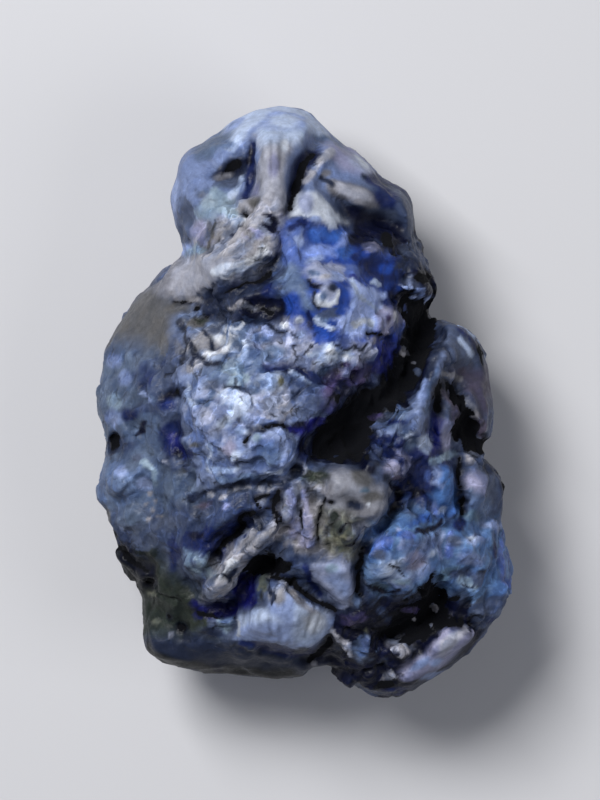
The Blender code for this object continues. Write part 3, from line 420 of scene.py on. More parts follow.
umber oval 0.8,0.5 0 4.8,-6.9
umber oval 0.9,0.6,-30 0 4.2,-5.7
spar oval 0.4,0.25,40 0.1 0.1,-4.9
teal oval 0.4,0.2 -0.1 4.3,-6.4
slate oval 0.8,0.4 -0.1 3.7,-7.5
white oval 0.15,0.2 0.1 4.6,-7.4
lilac line 0.4 0.1 -1,-6.3 -0.7,-7.6 -0.6,-9.4
lilac line 0.3 0.1 0.1,-6.6 0.2,-8.2 0.4,-10.2
spar line 0.25 0.1 1.1,-6.2 1.2,-7.4
black line 0.13 -0.2 1,-10 0.9,-8.7 1.2,-7.8 1.6,-7
black oval 0.3,0.25 -0.2 2,-7.2
black line 0.13 -0.2 2.1,-10.1 2.3,-9.2 2.3,-8.3
black line 0.12 -0.15 -0.3,-6.8 -0.2,-8.2 -0.1,-9.4
black line 0.15 -0.15 -1.5,-8.4 -1.4,-9.4
khaki area 0.6 0 1.6,-7.6 3,-8 4.4,-9 3.8,-11.2 1.8,-10.8 1.3,-9
khaki oval 0.8,0.9 0.1 3.3,-9.6
black line 0.13 -0.15 2.7,-9.4 3.1,-8.8 3.8,-8.8 4.1,-9.6 3.7,-10.4 3,-10.4
umber oval 0.25,0.25 0 3.4,-9.8
umber oval 0.6,0.5 0 2.2,-8.2
olive oval 0.35,0.3 -0.1 2.2,-8.2
lilac oval 0.5,0.8 0.05 0.2,-9.9
# The granules along the crack under the bulge, and the blade and cleft below them.
slate line 0.3 -0.05 -7.8,-7 -6.6,-6.6 -4.6,-6.1 -2.8,-5.9 -1.2,-5.8 -0.2,-5
pewter oval 0.35,0.16,15 0.12 -4.6,-6.5
pewter oval 0.3,0.18 0.12 -3.7,-6.3
pewter oval 0.3,0.2 0.12 -2.9,-6.4
pewter oval 0.3,0.2,20 0.12 -2.2,-6.3
pewter oval 0.35,0.2,20 0.12 -5.6,-7
pewter oval 0.3,0.2 0.1 -6.5,-6.8
lilac oval 0.4,0.2,40 0.1 -5.3,-7.5
mauve oval 0.5,0.2,20 0.1 -6.9,-7.4
host oval 0.5,0.5 0.05 -2.8,-7.2
black line 0.14 -0.15 -2.3,-6.8 -3.2,-7.2 -2.8,-7.9 -2,-7.8
slate oval 0.9,0.4 0 -2.9,-8.1
navy area 0.35 0.05 -8.4,-9.6 -6.4,-9.3 -5.2,-8.5 -4.4,-7.4 -3.8,-6.7 -4,-8 -5,-9.3 -6.2,-10.2 -8,-10.4
ink oval 0.8,0.4 0 -7.4,-9.7
storm line 0.3 0.05 -5.8,-8.9 -5,-8.2 -4.4,-7.4
black line 0.32 -0.2 -6,-10.7 -5.2,-9.9 -4.4,-9.2 -3.9,-8.4 -3.4,-8.2
black line 0.22 -0.2 -1.7,-6.4 -2,-7.6 -1.7,-8.8
spar oval 0.35,0.4 0.05 -1.8,-9.7
pewter area 0.35 0.15 -7.1,-14.4 -6.2,-12.3 -5.9,-11.2 -4.4,-10 -3,-9 -2.2,-8.9 -1.8,-9.5 -2.8,-10.2 -4.2,-11 \
-4.6,-12.4 -5.4,-14.2
spar line 0.7 0 -6.3,-12.9 -5.6,-11.9 -4.4,-10.7
white line 0.35 0.05 -5.9,-12.7 -5.3,-12.2 -4.8,-11.5
periwinkle oval 0.45,0.5 0.05 -6.6,-11.4
slate line 0.13 -0.1 -6.2,-12.4 -5.4,-12.7 -4.9,-12.2
black area 0.3 -0.2 -4.2,-11.8 -3,-11 -1.6,-10.9 -0.8,-11.4 -1.2,-12.2 -2.2,-12.5 -3,-12.3 -3.4,-13.2 -4.3,-13.4
indigo area 0.3 -0.05 -8,-14.5 -6.4,-14.4 -4.6,-14.1 -4,-13.2 -3.2,-12.6 -3,-13.8 -4.2,-14.6 -4.8,-15.4 -7.6,-15.3
black line 0.2 -0.1 -7.4,-15.2 -6.2,-15.3 -5,-15.4
# The lower left: a dark grey-green slope with pale lumps and holes, over a smooth slate ledge.
dusk oval 1,0.9 0 -11.4,-10.2
storm oval 0.9,0.6 0.05 -12.9,-9.8
mist area 0.35 0.15 -8.4,-10.5 -7.4,-10.8 -6.4,-11.6 -6.4,-12.4 -7.2,-12.9 -8,-12.2
steel line 0.2 -0.05 -7.8,-11.4 -7.2,-12 -6.9,-12.6
navy oval 0.6,1.1 0 -9.2,-11
soot area 0.6 0 -13.6,-10 -12,-10.8 -10.6,-12 -10.2,-13.8 -12,-13.8 -13.4,-12
black line 0.4 -0.2 -13.4,-10.2 -12.2,-11.3 -11.2,-12
black oval 0.45,0.42 -0.3 -10.9,-13
black oval 0.42,0.4 -0.3 -8.6,-16.2
black oval 0.2,0.2 -0.2 -9.6,-15.4
olive oval 0.9,0.5 0 -10.8,-14.8
khaki oval 0.35,0.3 0.1 -10.7,-13.9
khaki oval 0.35,0.25 0.1 -10.5,-15.9
host oval 0.25,0.25 0.1 -9.3,-16.8
slate oval 1,0.45 0 -6.5,-16.5
mist oval 0.8,0.6,-30 0.15 -5.7,-15.7
soot line 0.7 0 -11.6,-17.4 -10.8,-18.4 -9,-19 -7,-19.3 -4,-19.7 -1,-19.8
ink oval 0.6,0.3,-20 0 -6.1,-19.2
# The pale blue block at the foot, with its navy underside, and the lavender block beside it.
sky area 0.25 0.1 -4.8,-17 -4.5,-15.7 -3.8,-15.3 -2.4,-15 -2,-13.2 -1.2,-13.2 0,-14 1.6,-14.8 2,-15.8 1.8,-16.6 \
1.2,-17.2 0.3,-17.9 -0.8,-17.6 -2,-17.2 -4.3,-17.1
ice area 0.4 0.05 -4.4,-15.6 -2.4,-14.9 -1.6,-15.8 -4.3,-16
ice area 0.5 0 -0.4,-14.2 1.6,-15 1.7,-16.4 0.4,-17.5 -0.6,-17.2
sky area 0.35 0 -4.2,-16.2 -1.6,-16 -1.2,-17.1 -3.8,-17
pewter oval 0.7,0.9 0 -1.7,-13.8
slate line 0.12 -0.1 -2.3,-13.2 -1.8,-14 -2,-14.6
slate oval 0.8,0.6,40 -0.05 -3.1,-14.3
khaki line 0.25 0.1 -3.1,-13.6 -2.9,-12.9 -2.5,-12.4
white oval 1,0.9 0 0.8,-15.8
storm oval 0.7,0.4 0 -0.8,-10.8
navy line 0.4 -0.05 -4.2,-17.4 -2.2,-17.7 -0.2,-18.1 0.8,-17.9
black line 0.28 -0.2 -2.2,-12.4 -0.8,-12.9 0.3,-13.7 1.6,-14.5 2.3,-15
storm area 0.4 -0.05 -1.6,-10.4 0,-10.6 1.4,-11 2,-11.6 0.6,-12.6 -1,-11.8
lavender area 0.25 0.1 0.6,-11.6 1.9,-11.5 3.5,-11.5 3.6,-13.2 3.4,-14.2 2.9,-14.8 2.3,-14.2 1.2,-13.3 0.5,-12.3
mist oval 0.6,0.35 0 2.1,-11.9
sky area 0.4 0.05 1.6,-12.6 2.6,-12 3.3,-13 3,-14.2 2.4,-13.8
navy line 0.25 -0.1 0.1,-11.8 0.6,-12.9 1.4,-13.8
black line 0.3 -0.2 4.2,-10.6 4,-12.2 3.9,-13.9
ink line 0.3 -0.2 6.2,-6.1 6.8,-6.9 6.5,-7.9 5.9,-9 5.1,-9.9 4.4,-10.7
pewter oval 0.5,0.7,-20 0 4.1,-9.2
host oval 0.5,0.5 0.1 3.6,-14.2
purple oval 1,0.6 0.1 3.7,-15.6
black line 0.4 -0.1 2,-17.2 1.3,-18 0.4,-18.7
host oval 0.3,0.25 0.1 0.8,-18.9
spar line 0.2 0.15 2.1,-16.3 2.7,-17 3.1,-17.6 3.4,-18.5
steel oval 0.8,0.9 0.15 4.3,-18
periwinkle oval 0.5,0.5 0.05 4.5,-17.5
khaki oval 0.22,0.3 0.1 4.6,-16.7
navy oval 0.5,0.6 0 13.3,-15.8
ink oval 1.1,0.5,10 0 5.7,-20.4
ink area 0.4 0 3.2,-18.8 5.2,-18.9 5.8,-20.4 4.6,-20.6 3.2,-19.6
slate oval 0.4,0.5 0 2.5,-17.8
# The lower right: a knobbly blue ball, a second lump beside it and a black hollow under them.
sea area 0.4 0 4.7,-10.2 5.4,-9 6.8,-8.2 7.2,-9.4 6.9,-10.6 5.6,-11.2
ink line 0.28 -0.15 8,-9.2 8.8,-9.4 9.4,-9 9.8,-8.5
cobalt oval 0.9,0.4,10 0 8.2,-8.6
sky line 0.25 0.05 6.6,-9.3 7,-9.9 6.9,-10.6
periwinkle area 0.35 0.05 7.2,-9.8 8.6,-9.9 9.4,-9.4 9.9,-9.2 9.5,-10.8 8.4,-11 7.2,-10.8
sky area 0.35 0.05 7.4,-11.3 9,-10.8 9.2,-11.8 8.4,-12.8 7.5,-12.4
ice area 0.5 0.12 5.2,-11.6 6.2,-11 7.2,-11.5 7.4,-12.8 6.2,-12.9 5.5,-12.4
ink line 0.1 -0.15 6.2,-11.7 6.8,-11.9 7.2,-12.4
sky oval 1.2,0.6,10 0.05 7.2,-13
ice oval 0.6,0.35 0.05 6.7,-12.6
cobalt oval 0.8,0.7 0 5.6,-10.5
cobalt oval 0.8,0.4 0 7,-9.6
teal oval 0.8,0.4 0 5.6,-13.2
ink oval 0.4,0.15 -0.1 5.9,-13.6
sky line 0.28 0.1 10,-9.6 9.7,-10.4 9.8,-11.2
denim line 0.3 0.05 10.6,-9.4 10.5,-10.2 10.4,-11
sky oval 0.9,0.6,15 0.1 12.2,-9.9
ice oval 0.4,0.25 0.1 12,-9.8
navy oval 0.6,0.5 0 11.1,-8.9
periwinkle oval 1.2,0.6,-10 0.05 11.8,-11.3
teal oval 1,0.5,30 0.05 10.4,-12.4
slate oval 0.5,0.3 -0.05 12.6,-12.2
storm oval 1,0.6,20 0 11.5,-12.4
mist oval 0.8,0.7 0.1 11.8,-13.1
slate line 0.12 -0.1 11.4,-13.3 11.9,-13.4 12.1,-13
denim line 0.35 0 14.4,-10.4 14.5,-11.8 14.3,-13
navy oval 0.3,0.9 0 13.7,-10.8
dusk area 0.5 0 12.2,-14.4 14.4,-13.4 14.2,-15 12.8,-16.2 11.8,-15.4
ink area 0.4 -0.1 9.8,-13.6 11,-14 12.4,-15.2 12.6,-16.4 11,-16.2 9.8,-15
black area 0.3 -0.2 8.7,-12.9 9.3,-12.6 9.9,-13.4 10.2,-14.2 10.6,-15.4 11.2,-16.2 10,-16.4 8.8,-17 7.5,-17.2 \
5.2,-17 5,-16.1 6.6,-15.8 7,-14.7 8.3,-14.1
host oval 0.26,0.3 0.15 9.4,-14.8
slate oval 0.5,0.16,-25 0.1 8.1,-14.2
host oval 0.2,0.2 0.15 8.05,-15.9
host oval 0.22,0.35 0.15 9.15,-16.1
purple oval 0.8,0.4 0.1 7.6,-15
slate oval 0.4,0.3 0.1 6.1,-15.5
spar area 0.25 0.15 6.1,-17.5 6.8,-17.2 7.8,-17.7 7.6,-18.2 6.5,-18.1
lilac area 0.3 0.15 7,-19.6 7.4,-18.9 9,-17.6 10.2,-16.6 11.4,-16.4 12.2,-16.8 11.2,-17.8 9.6,-19.1 8,-20 7.2,-20
spar oval 1.6,0.4,42 0.05 10.5,-17.3
periwinkle oval 1,0.35,38 0 8.4,-18.8
spar area 0.2 0.1 5.8,-19.8 6.2,-19.2 6.7,-18.9 6.7,-19.4 6.3,-19.9
slate oval 0.35,0.3 0.1 5.7,-18.6
ink line 0.2 -0.1 7.4,-20.4 9,-19.9 11,-18.6 12.6,-17.2
navy line 0.3 0 5.4,-20.8 7.4,-21 9.6,-20.5 11.6,-19.1 13.2,-17.2
# Thin stains and dust, dark and light, that lie over all the rest.
black oval 0.7,0.6 0 8.6,8.6
black oval 0.4,0.7 0 9.2,7.2
ice oval 1,0.6,-35 0 0.9,19.2
storm oval 0.9,0.45 0 2.1,5.95
host oval 0.9,0.5,30 0 -8.9,9.8
black oval 1,0.45,10 0 5.7,-20.45
dusk oval 0.45,0.35 0 -3.8,0.55
storm oval 0.6,0.6 0 -9.2,-4.8
dusk oval 0.8,0.45 0 -6.2,0.9
slate oval 0.5,0.3 0 -2.6,-2.2
storm oval 0.8,0.6 0 -2.8,-14.2
olive oval 0.7,0.3 0 -7.2,5.4
storm oval 0.6,0.6 0 -12.6,-3.1
black oval 0.6,0.5 0 6.2,-0.2
slate oval 0.6,0.6 0 13.1,-4.7
navy oval 0.5,0.3 0 6.5,6.5
black oval 0.8,0.7 0 6,11.4
dusk oval 0.5,0.4 0 -7.2,14.3
slate oval 0.5,0.25,-35 0 1.9,15.35
steel oval 0.6,0.4 0 1.4,2.1
black oval 0.5,0.4 0 2.3,0
slate oval 0.7,0.3 0 0,-17.8
umber oval 0.5,0.4 0 -3.2,13.9
dusk oval 0.6,0.5 0 5.6,-11.1
periwinkle oval 0.8,0.35,38 0 9,-19.8
umber oval 0.4,0.8 0 -13.9,-8.5
white oval 0.5,0.4 0 1.9,12.8
olive oval 0.3,0.4 0 2.2,-8.2
steel oval 0.4,0.5 0 3.7,-14.2
navy oval 0.5,0.4 0 -5,-9.1
storm oval 0.5,0.4 0 5.5,-15
slate oval 0.35,0.25 0 -3,-9
steel oval 0.7,0.35,40 0 -5.1,19.7
sky oval 0.6,0.3,38 0 9.4,-18.6
storm oval 0.5,0.5 0 -8,-4.5
dusk oval 0.6,0.6 0 12.3,-12.8
ice oval 0.9,0.3 0 -1,20.6
storm oval 0.4,0.5 0 -0.7,-10.6
storm oval 0.4,0.4 0 -1.6,8.9
slate oval 0.5,0.3 0 -1.2,-6
dusk oval 0.6,0.5 0 10.8,-10
pewter oval 0.4,0.5 0 -6.5,-11.5
navy oval 0.4,0.4 0 3.7,10
storm oval 0.4,0.5 0 -8.3,-3.2
white oval 0.35,0.6 0 -1.3,17.8
steel oval 0.3,0.35 0 1.4,7.2
dusk oval 0.5,0.4 0 -11.6,-4.2
slate oval 0.6,0.3 0 9.7,3.5
steel oval 0.6,0.4,20 0.05 -5.5,-15.5
lavender oval 0.6,0.4,20 0.05 4.8,2.9
sky oval 0.6,0.45,-30 0.05 2.4,8.5
azure oval 0.4,0.6 0.05 9.3,-7.7
host oval 0.8,0.4 0 -9.6,7.5
host oval 0.4,0.6,-20 0.05 -1.5,-9.3
denim oval 0.6,0.5 0 -0.6,11.8
mauve oval 0.4,0.8,15 0.05 12.7,-1.8
white line 0.35 0.1 -5.9,2.8 -5.5,3.6 -5,4.6
dusk oval 0.3,0.7,-30 -0.05 -6.5,-12.9
slate oval 0.7,0.35 -0.1 -4.8,7
host oval 0.9,0.3,-10 0.05 4.3,13.8
lilac oval 0.5,0.35 0.05 6,4.7
lavender oval 0.35,0.7,-20 0.05 -0.5,-7.9
mist oval 0.5,0.4 0.05 -7,-11.7
spar oval 0.3,0.6 0.05 -1.5,14.1
ice oval 0.5,0.4,30 0.05 9.2,-10.8
slate oval 0.7,0.25,38 -0.05 10.9,-18.8
black oval 0.8,0.4 -0.1 10.8,-14.2
sky oval 0.5,0.4 0.05 -11.1,-6
black oval 0.7,0.35 -0.1 -2.4,6.1
slate oval 0.8,0.3,-40 0 6,15.4
storm line 0.25 -0.05 -3.6,-5.3 -2.6,-5.2
royal oval 0.5,0.3 0 2.8,6
ice oval 0.5,0.35 0.05 -4.3,-2.3
sky oval 0.5,0.35,20 0.05 -5.8,-4.2
host oval 0.35,0.5,-20 0.05 3.9,-9
denim oval 0.8,0.6 0 5.7,-10.1
denim oval 0.7,0.4 0 7.4,-9.6
lilac oval 0.8,0.6,30 0 7.9,-11.4
mist oval 0.9,0.35,-15 0.05 7.2,-12.9
ink line 0.18 -0.1 4.9,-13.3 6,-13.6 6.9,-13.5
khaki oval 0.4,0.8,-10 0 -2.7,-13.2
host line 0.35 0 -1.6,-13 -0.9,-13.6 0.2,-14.6
spar oval 0.8,0.3,-35 0.05 0.7,-15
navy line 0.25 0 -3.8,-17.3 -2.2,-17.5 -0.8,-17.9
indigo area 0.25 -0.2 -4.6,-12.6 -3.5,-12.8 -3.3,-13.8 -3.1,-14.5 -4.1,-15 -4.8,-14.8
soot oval 0.35,0.6,10 -0.1 -2.8,-14
white line 0.15 0.05 -4.6,-15.8 -4.5,-16.8
mist line 0.5 0.05 -6.2,14.5 -5.6,13.8 -5.1,13
mist oval 0.4,0.6,20 0.1 -5.7,13.5
white line 0.4 0.15 -6.2,8.9 -5,9.3 -3.6,9.8 -2.8,10.4
umber line 0.12 -0.05 -6.1,12.4 -6.3,11.6 -6.7,10.8
mist oval 0.7,0.35,20 0.05 -7.6,10.5
navy line 0.25 0 -0.9,11.9 -0.3,12.4 0,12.5
white oval 0.9,0.4,-25 0.05 1.7,13.1
white oval 0.7,0.6 0.05 0.8,-15.6
"""

# Where the surface is worn smooth: how smooth, then corners. Everywhere else it is broken into crisp flakes.
SMOOTH = """
0.85 -10,14 -7,17 -3.6,18.4 -3.4,14.2 -0.8,13.2 1,18 3.4,12 8.6,11.6 8,17 0,23 -10,21
0.85 -1.2,15.6 1.2,16 3.8,12.6 3.2,11.8 -1.2,12.6
0.6 -9.8,10.6 -7.6,11.4 -5.4,13.6 -3.6,14.2 -3.8,17.6 -10,17
0.75 -10.4,7.6 -9.2,10 -5,10 -5.6,8.4 -8,7
0.75 -13,8.6 -9.6,8.4 -8.4,5.6 -10,3 -14.6,4
0.9 -13,-16.8 0,-18.6 1.6,-17.9 1.6,-21 -13,-21
0.6 10,5.4 15,5 15,-1 12.6,-1.6 11.4,0.4 10.4,2
0.8 1.4,-4.4 5.2,-4.4 6.2,-7 5.2,-8.6 1.8,-8
0.85 7.2,-20.6 8,-18.6 11.4,-16.4 13,-17.4 9,-20.8
0.8 -5,-17.6 -4.8,-15 -2.6,-14.2 1.8,-14.4 2.4,-16.6 0.2,-18.2
0.75 0,-11 3.9,-11.1 3.9,-14.2 2.6,-15.1 0.5,-13
0.6 -1.4,12.4 3,11.6 6.6,9.6 6.2,5.2 0.6,4.4 -1.2,6.4
0.3 4.6,-9 7,-7.8 10.2,-9.6 9.6,-12.8 5.6,-13.6
0.25 9.8,-8.6 14.6,-8.4 14.8,-13 11,-14.2 9.8,-12.6
0.5 7.4,3.6 9.8,3.6 10.4,-1 11.2,-5 11.2,-8 8,-7 8,-4 7.6,-1
0.5 11.4,-4.8 14.4,-4.8 14.4,-8.6 11.4,-8.6
0.35 -15,3 -10.6,2.4 -9,-2 -9,-7 -12,-9.4 -15,-8
0.4 -12,-9.8 -8,-10 -6.8,-14 -7,-17 -12,-17
"""

# Fine parallel grooves on some crystals: the direction that they run in degrees, spacing, depth, then corners.
GROOVES = """
92 0.62 0.07 -0.9,-5.8 2.2,-6.2 2.4,-11 -1.2,-10.8
88 0.7 0.05 -3.4,18.5 -0.7,18.5 -1.4,13.4 -3.4,13.6
48 0.55 0.06 -7.6,-14.4 -5.2,-10.4 -1.8,-8.2 -1.4,-9.4 -5,-12.6
84 0.66 0.05 -4.6,-15 1.8,-15 1.8,-17.6 -4.4,-17.2
60 0.6 0.05 0.2,-11.3 3.6,-11.6 3.2,-14.6 0.6,-12.6
80 0.5 0.05 8,3 9.6,3 9,-2.6 7.8,-2.6
"""

# The plates: width, stretch along the way that they run, rise, and spread in lightness. Then the way that they run.
BROAD_PLATES = (2.3, 1.3, 0.22, 0.3)
SMALL_PLATES = (1.05, 1.6, 0.18, 0.34)
FLOW = np.array((0.72, 0.66, 0.2)) / np.linalg.norm((0.72, 0.66, 0.2))

# Heights between which the steep flanks give way to the dome, and the height from which the forms show.
FLANK_TOPS = (6.0, 12.0)
FORMS_FROM = 5.0

# How much of a form's rise is given, how deep creases and seams are, and the radius from which ovals break up.
RISE_SHARE = 0.35
CREASE_DEPTH = 0.07
SEAM_DEPTH = 0.12
LARGE_OVAL = 0.8

# A black form, partly dark mineral and partly painted shade in clefts and pits, is a core with an ink-coloured halo,
# also partly painted shade: how far each reaches, as a share of an oval's radii or of the size of a line or area.
HALO_REACH = {"oval": 1.5, "line": 1.9, "area": 1.9}
CORE_REACH = {"oval": 0.85, "line": 0.75, "area": 0.75}

# Rounds of evening, and how deep a hollow has to be after them to count in full. Then how much painted shade
# darkens such a hollow, how much an edge is lightened, partly as wear and partly as painted highlight, and how much
# painted shade darkens the grooves.
FULL_HOLLOW = {2: 0.09, 5: 0.16, 12: 0.30}
HOLLOW_SHADE = 0.6
EDGE_WEAR_AND_HIGHLIGHT = 0.35
GROOVE_SHADE = 0.45


def linear(hex_colour):
    """An sRGB hex colour as the linear colour that Blender works in."""
    shares = [int(hex_colour[i:i + 2], 16) / 255 for i in (1, 3, 5)]
    return tuple(s / 12.92 if s <= 0.04045 else ((s + 0.055) / 1.055) ** 2.4 for s in shares) + (1.0,)


def numbers(text):
    """The numbers in a text that has commas between them."""
    return tuple(float(part) for part in text.split(","))


def rows(table, words):
    """A table's rows: so many words, then the row's places. Rows that begin with # are comments."""
    for row in table.strip().splitlines():
        if not row.startswith("#"):
            parts = row.split()
            yield *parts[:words], tuple(numbers(place) for place in parts[words:])


def ease(amount):
    """Eases 0 to 1 in and out, and holds it at both ends."""
    held = np.clip(amount, 0.0, 1.0)
    return held * held * (3.0 - 2.0 * held)


def noise_at(points, size, shift):
    """Smooth noise from -1 to 1, in lumps about that many millimetres apart. Each shift gives other lumps."""
    return np.array([noise.noise(point) for point in (points / size + shift).tolist()])


def path_gap(places, path):
    """Each place's distance to a path."""
    nearest = np.full(len(places), np.inf)
    for start, end in zip(path, path[1:]):
        along = np.subtract(end, start)
        share = np.clip((places - start) @ along / (along @ along), 0.0, 1.0)
        nearest = np.minimum(nearest, np.linalg.norm(places - start - share[:, None] * along, axis=1))
    return nearest


def area_depth(places, corners):
    """How far each place lies inside an area. Places outside get a negative depth."""
    inside = np.zeros(len(places), bool)
    for start, end in zip(corners, corners[1:] + corners[:1]):
        spans = (places[:, 1] < start[1]) != (places[:, 1] < end[1])
        rise = (end[1] - start[1]) or 1.0
        inside ^= spans & (places[:, 0] < start[0] + (places[:, 1] - start[1]) / rise * (end[0] - start[0]))
    gap = path_gap(places, corners + corners[:1])
    return np.where(inside, gap, -gap)


def cover(places, kind, size, where, ragged):
    """How much of a form there is at each place, from 0 to 1, with a ragged edge."""
    if kind == "area":
        return ease(0.5 + 0.5 * area_depth(places, where) / size[0] + 0.3 * ragged)
    if kind == "line":
        return ease(1.5 * (1.1 - path_gap(places, where) / size[0]) + 0.7 * ragged)
    turn = np.radians(size[2] if len(size) > 2 else 0.0)
    across = (places - where[0]) @ (np.cos(turn), np.sin(turn)) / size[0]
    along = (places - where[0]) @ (-np.sin(turn), np.cos(turn)) / size[1]
    return ease(1.5 * (1.15 - np.hypot(across, along)) + 0.6 * ragged)


def resized(size, factor):
    """A form's size times a factor. An oval's turn stays."""
    return tuple(part * factor for part in size[:2]) + size[2:]


def plates(points, width, stretch, shift):
    """Plates, longer one way than the other, that each lean their own way: heights, shares, ways to the middle."""
    along = points @ FLOW
    scaled = (points - np.outer(along * (1.0 - 1.0 / stretch), FLOW)) / width + shift
    nearest = [noise.voronoi(point) for point in scaled.tolist()]
    gaps = np.array([distances[1] - distances[0] for distances, middles in nearest])
    middles = np.array([tuple(middles[0]) for distances, middles in nearest])
    shares = np.array([tuple(noise.cell_vector(middle)) for middle in (middles * 41.0).tolist()])
    heights = np.sum((scaled - middles) * (shares - 0.5), axis=1) * 2.0 * width * ease(gaps / 0.15)
    steps = (middles - scaled) * width
    steps += np.outer((steps @ FLOW) * (stretch - 1.0), FLOW)
    return heights, shares, steps


# The solid, merged and evened out, with finer faces on the dome, then laid back onto the solid's own surface.
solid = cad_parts["sapphire"]
stone = bpy.data.objects.new("stone", solid.data.copy())
bpy.context.scene.collection.objects.link(stone)
loose = bmesh.new()
loose.from_mesh(stone.data)
bmesh.ops.remove_doubles(loose, verts=loose.verts, dist=0.002 * MM)
bmesh.ops.recalc_face_normals(loose, faces=loose.faces)
loose.to_mesh(stone.data)
loose.free()
stone.data.materials.clear()
bpy.context.view_layer.objects.active = stone
stone.select_set(True)
evening = stone.modifiers.new("even out", "REMESH")
evening.mode = "VOXEL"
evening.voxel_size = COARSE_STEP * MM
bpy.ops.object.modifier_apply(modifier=evening.name)
mesh = stone.data
finer = bmesh.new()
finer.from_mesh(mesh)
upper = {edge for face in finer.faces if face.calc_center_median().z > FINER_ABOVE * MM for edge in face.edges}
bmesh.ops.subdivide_edges(finer, edges=[edge for edge in finer.edges if edge in upper], cuts=1, use_grid_fill=True)
finer.to_mesh(mesh)
finer.free()
laying = stone.modifiers.new("lay back", "SHRINKWRAP")
laying.target = solid
bpy.ops.object.modifier_apply(modifier=laying.name)

count = len(mesh.vertices)
points = np.empty(count * 3)
mesh.vertices.foreach_get("co", points)
points = points.reshape(-1, 3) / MM
edges = np.empty(len(mesh.edges) * 2, int)
mesh.edges.foreach_get("vertices", edges)
edges = edges.reshape(-1, 2)
neighbours = np.bincount(edges.ravel(), minlength=count)[:, None]


def evened(values):
    """Each point's value becomes the mean of its neighbours' values."""
    gathered = np.zeros_like(values)
    np.add.at(gathered, edges[:, 0], values[edges[:, 1]])
    np.add.at(gathered, edges[:, 1], values[edges[:, 0]])
    return gathered / neighbours


def move_mesh():
    """Puts the mesh's points where points has them."""
    mesh.vertices.foreach_set("co", (points * MM).ravel())
    mesh.update()


def read_normals():
    """Which way the surface faces at each point."""
    held = np.empty(count * 3)
    mesh.vertices.foreach_get("normal", held)
    return held.reshape(-1, 3)


for _ in range(EVENING_ROUNDS):
    points += EVENING_SHARE * (evened(points) - points)
move_mesh()
normals = read_normals()

# The forms belong to the dome. Down the steep flanks they wander and break up, and below they hand over to the
# growth of the stone itself, at an uneven line.
facing_up = ease((normals[:, 2] - 0.1) / 0.3)
steep = (1.0 - ease((points[:, 2] - FLANK_TOPS[0]) / (FLANK_TOPS[1] - FLANK_TOPS[0]))) * (1.0 - facing_up)
dome = ease((points[:, 2] - FORMS_FROM + 2.4 * noise_at(points, 4.5, 91.0)) / 2.5)
dome = np.maximum(dome, facing_up)
crisp = np.ones(count)
for share, corners in rows(SMOOTH, 1):
    crisp *= 1.0 - float(share) * ease(0.5 + 0.5 * area_depth(points[:, :2], corners) / 0.8) * dome

# The plates push the surface up and down, and the small ones also shift the forms on them, so that edges break up.
bent = points + 0.55 * np.stack([noise_at(points, 1.9, shift) for shift in (63.0, 67.0, 71.0)], axis=1)
broad_heights, broad_shares, _ = plates(bent, *BROAD_PLATES[:2], 3.0)
small_heights, small_shares, small_steps = plates(bent, *SMALL_PLATES[:2], 17.0)
shaken = points[:, :2].copy()
for size, reach, shift in ((2.2, 0.30, 5.0), (0.8, 0.16, 9.0)):
    shaken[:, 0] += reach * (0.4 + 0.6 * crisp) * noise_at(points, size, shift)
    shaken[:, 1] += reach * (0.4 + 0.6 * crisp) * noise_at(points, size, shift + 50.0)
for channel, shift in enumerate((41.0, 47.0)):
    shaken[:, channel] += 4.5 * steep * (noise_at(points, 3.4, shift) + 0.5 * noise_at(points, 1.4, shift + 30.0))
flaked = shaken + 0.45 * crisp[:, None] * small_steps[:, :2]
ragged = noise_at(points, 1.1, 31.0) + 0.6 * noise_at(points, 0.5, 37.0) + 0.5 * (small_shares[:, 1] - 0.5)
ragged *= 0.3 + 0.7 * crisp
raise_by = crisp * (BROAD_PLATES[2] * broad_heights + SMALL_PLATES[2] * small_heights)
raise_by -= crisp * CREASE_DEPTH * np.abs(noise_at(bent, 1.1, 65.0))

grooving = np.zeros(count)
for direction, spacing, depth, corners in rows(GROOVES, 3):
    angle = np.radians(float(direction))
    across = shaken @ (-np.sin(angle), np.cos(angle)) + 0.3 * noise_at(points, 2.4, 81.0)
    furrow = (0.5 + 0.5 * np.cos(2 * np.pi * across / float(spacing))) ** 2 * dome
    furrow *= ease(0.5 + 1.4 * noise_at(points, 1.5, 83.0))
    furrow *= cover(shaken, "area", (0.4,), corners, ragged)
    grooving = np.maximum(grooving, furrow)
    raise_by -= float(depth) * furrow

# A ground that is mottled like the mineral all the way round, with veins, weathered patches and sunken seams.
tints = {name: np.array(linear(hex_colour)[:3]) for name, hex_colour in TINTS.items()}
growth = noise_at(points, 6.5, 101.0) + 0.6 * noise_at(points, 2.8, 111.0) + 0.3 * noise_at(points, 1.2, 121.0)
levels = np.array((-0.85, -0.5, -0.22, 0.0, 0.25, 0.5, 0.85))
ramp = np.array([tints[name] for name in ("ink", "navy", "steel", "dusk", "denim", "periwinkle", "lavender")])
colour = np.stack([np.interp(growth, levels, ramp[:, channel]) for channel in range(3)], axis=1)
veins = ease(1.0 - np.abs(noise_at(points, 7.5, 131.0) + 0.25 * noise_at(points, 2.0, 141.0)) / 0.11)
colour += (tints["host"] - colour) * (0.8 * veins)[:, None]
weathered = ease(2.2 * noise_at(points, 8.0, 151.0) - 0.3) * ease((7.0 - points[:, 2]) / 5.0)
colour += (tints["umber"] - colour) * (0.75 * weathered)[:, None]
seams = ease(1.0 - np.abs(noise_at(points, 5.2, 161.0)) / 0.05) * (1.0 - dome)
colour += (tints["black"] - colour) * (0.85 * seams)[:, None]
raise_by -= SEAM_DEPTH * seams
dark = 0.9 * seams

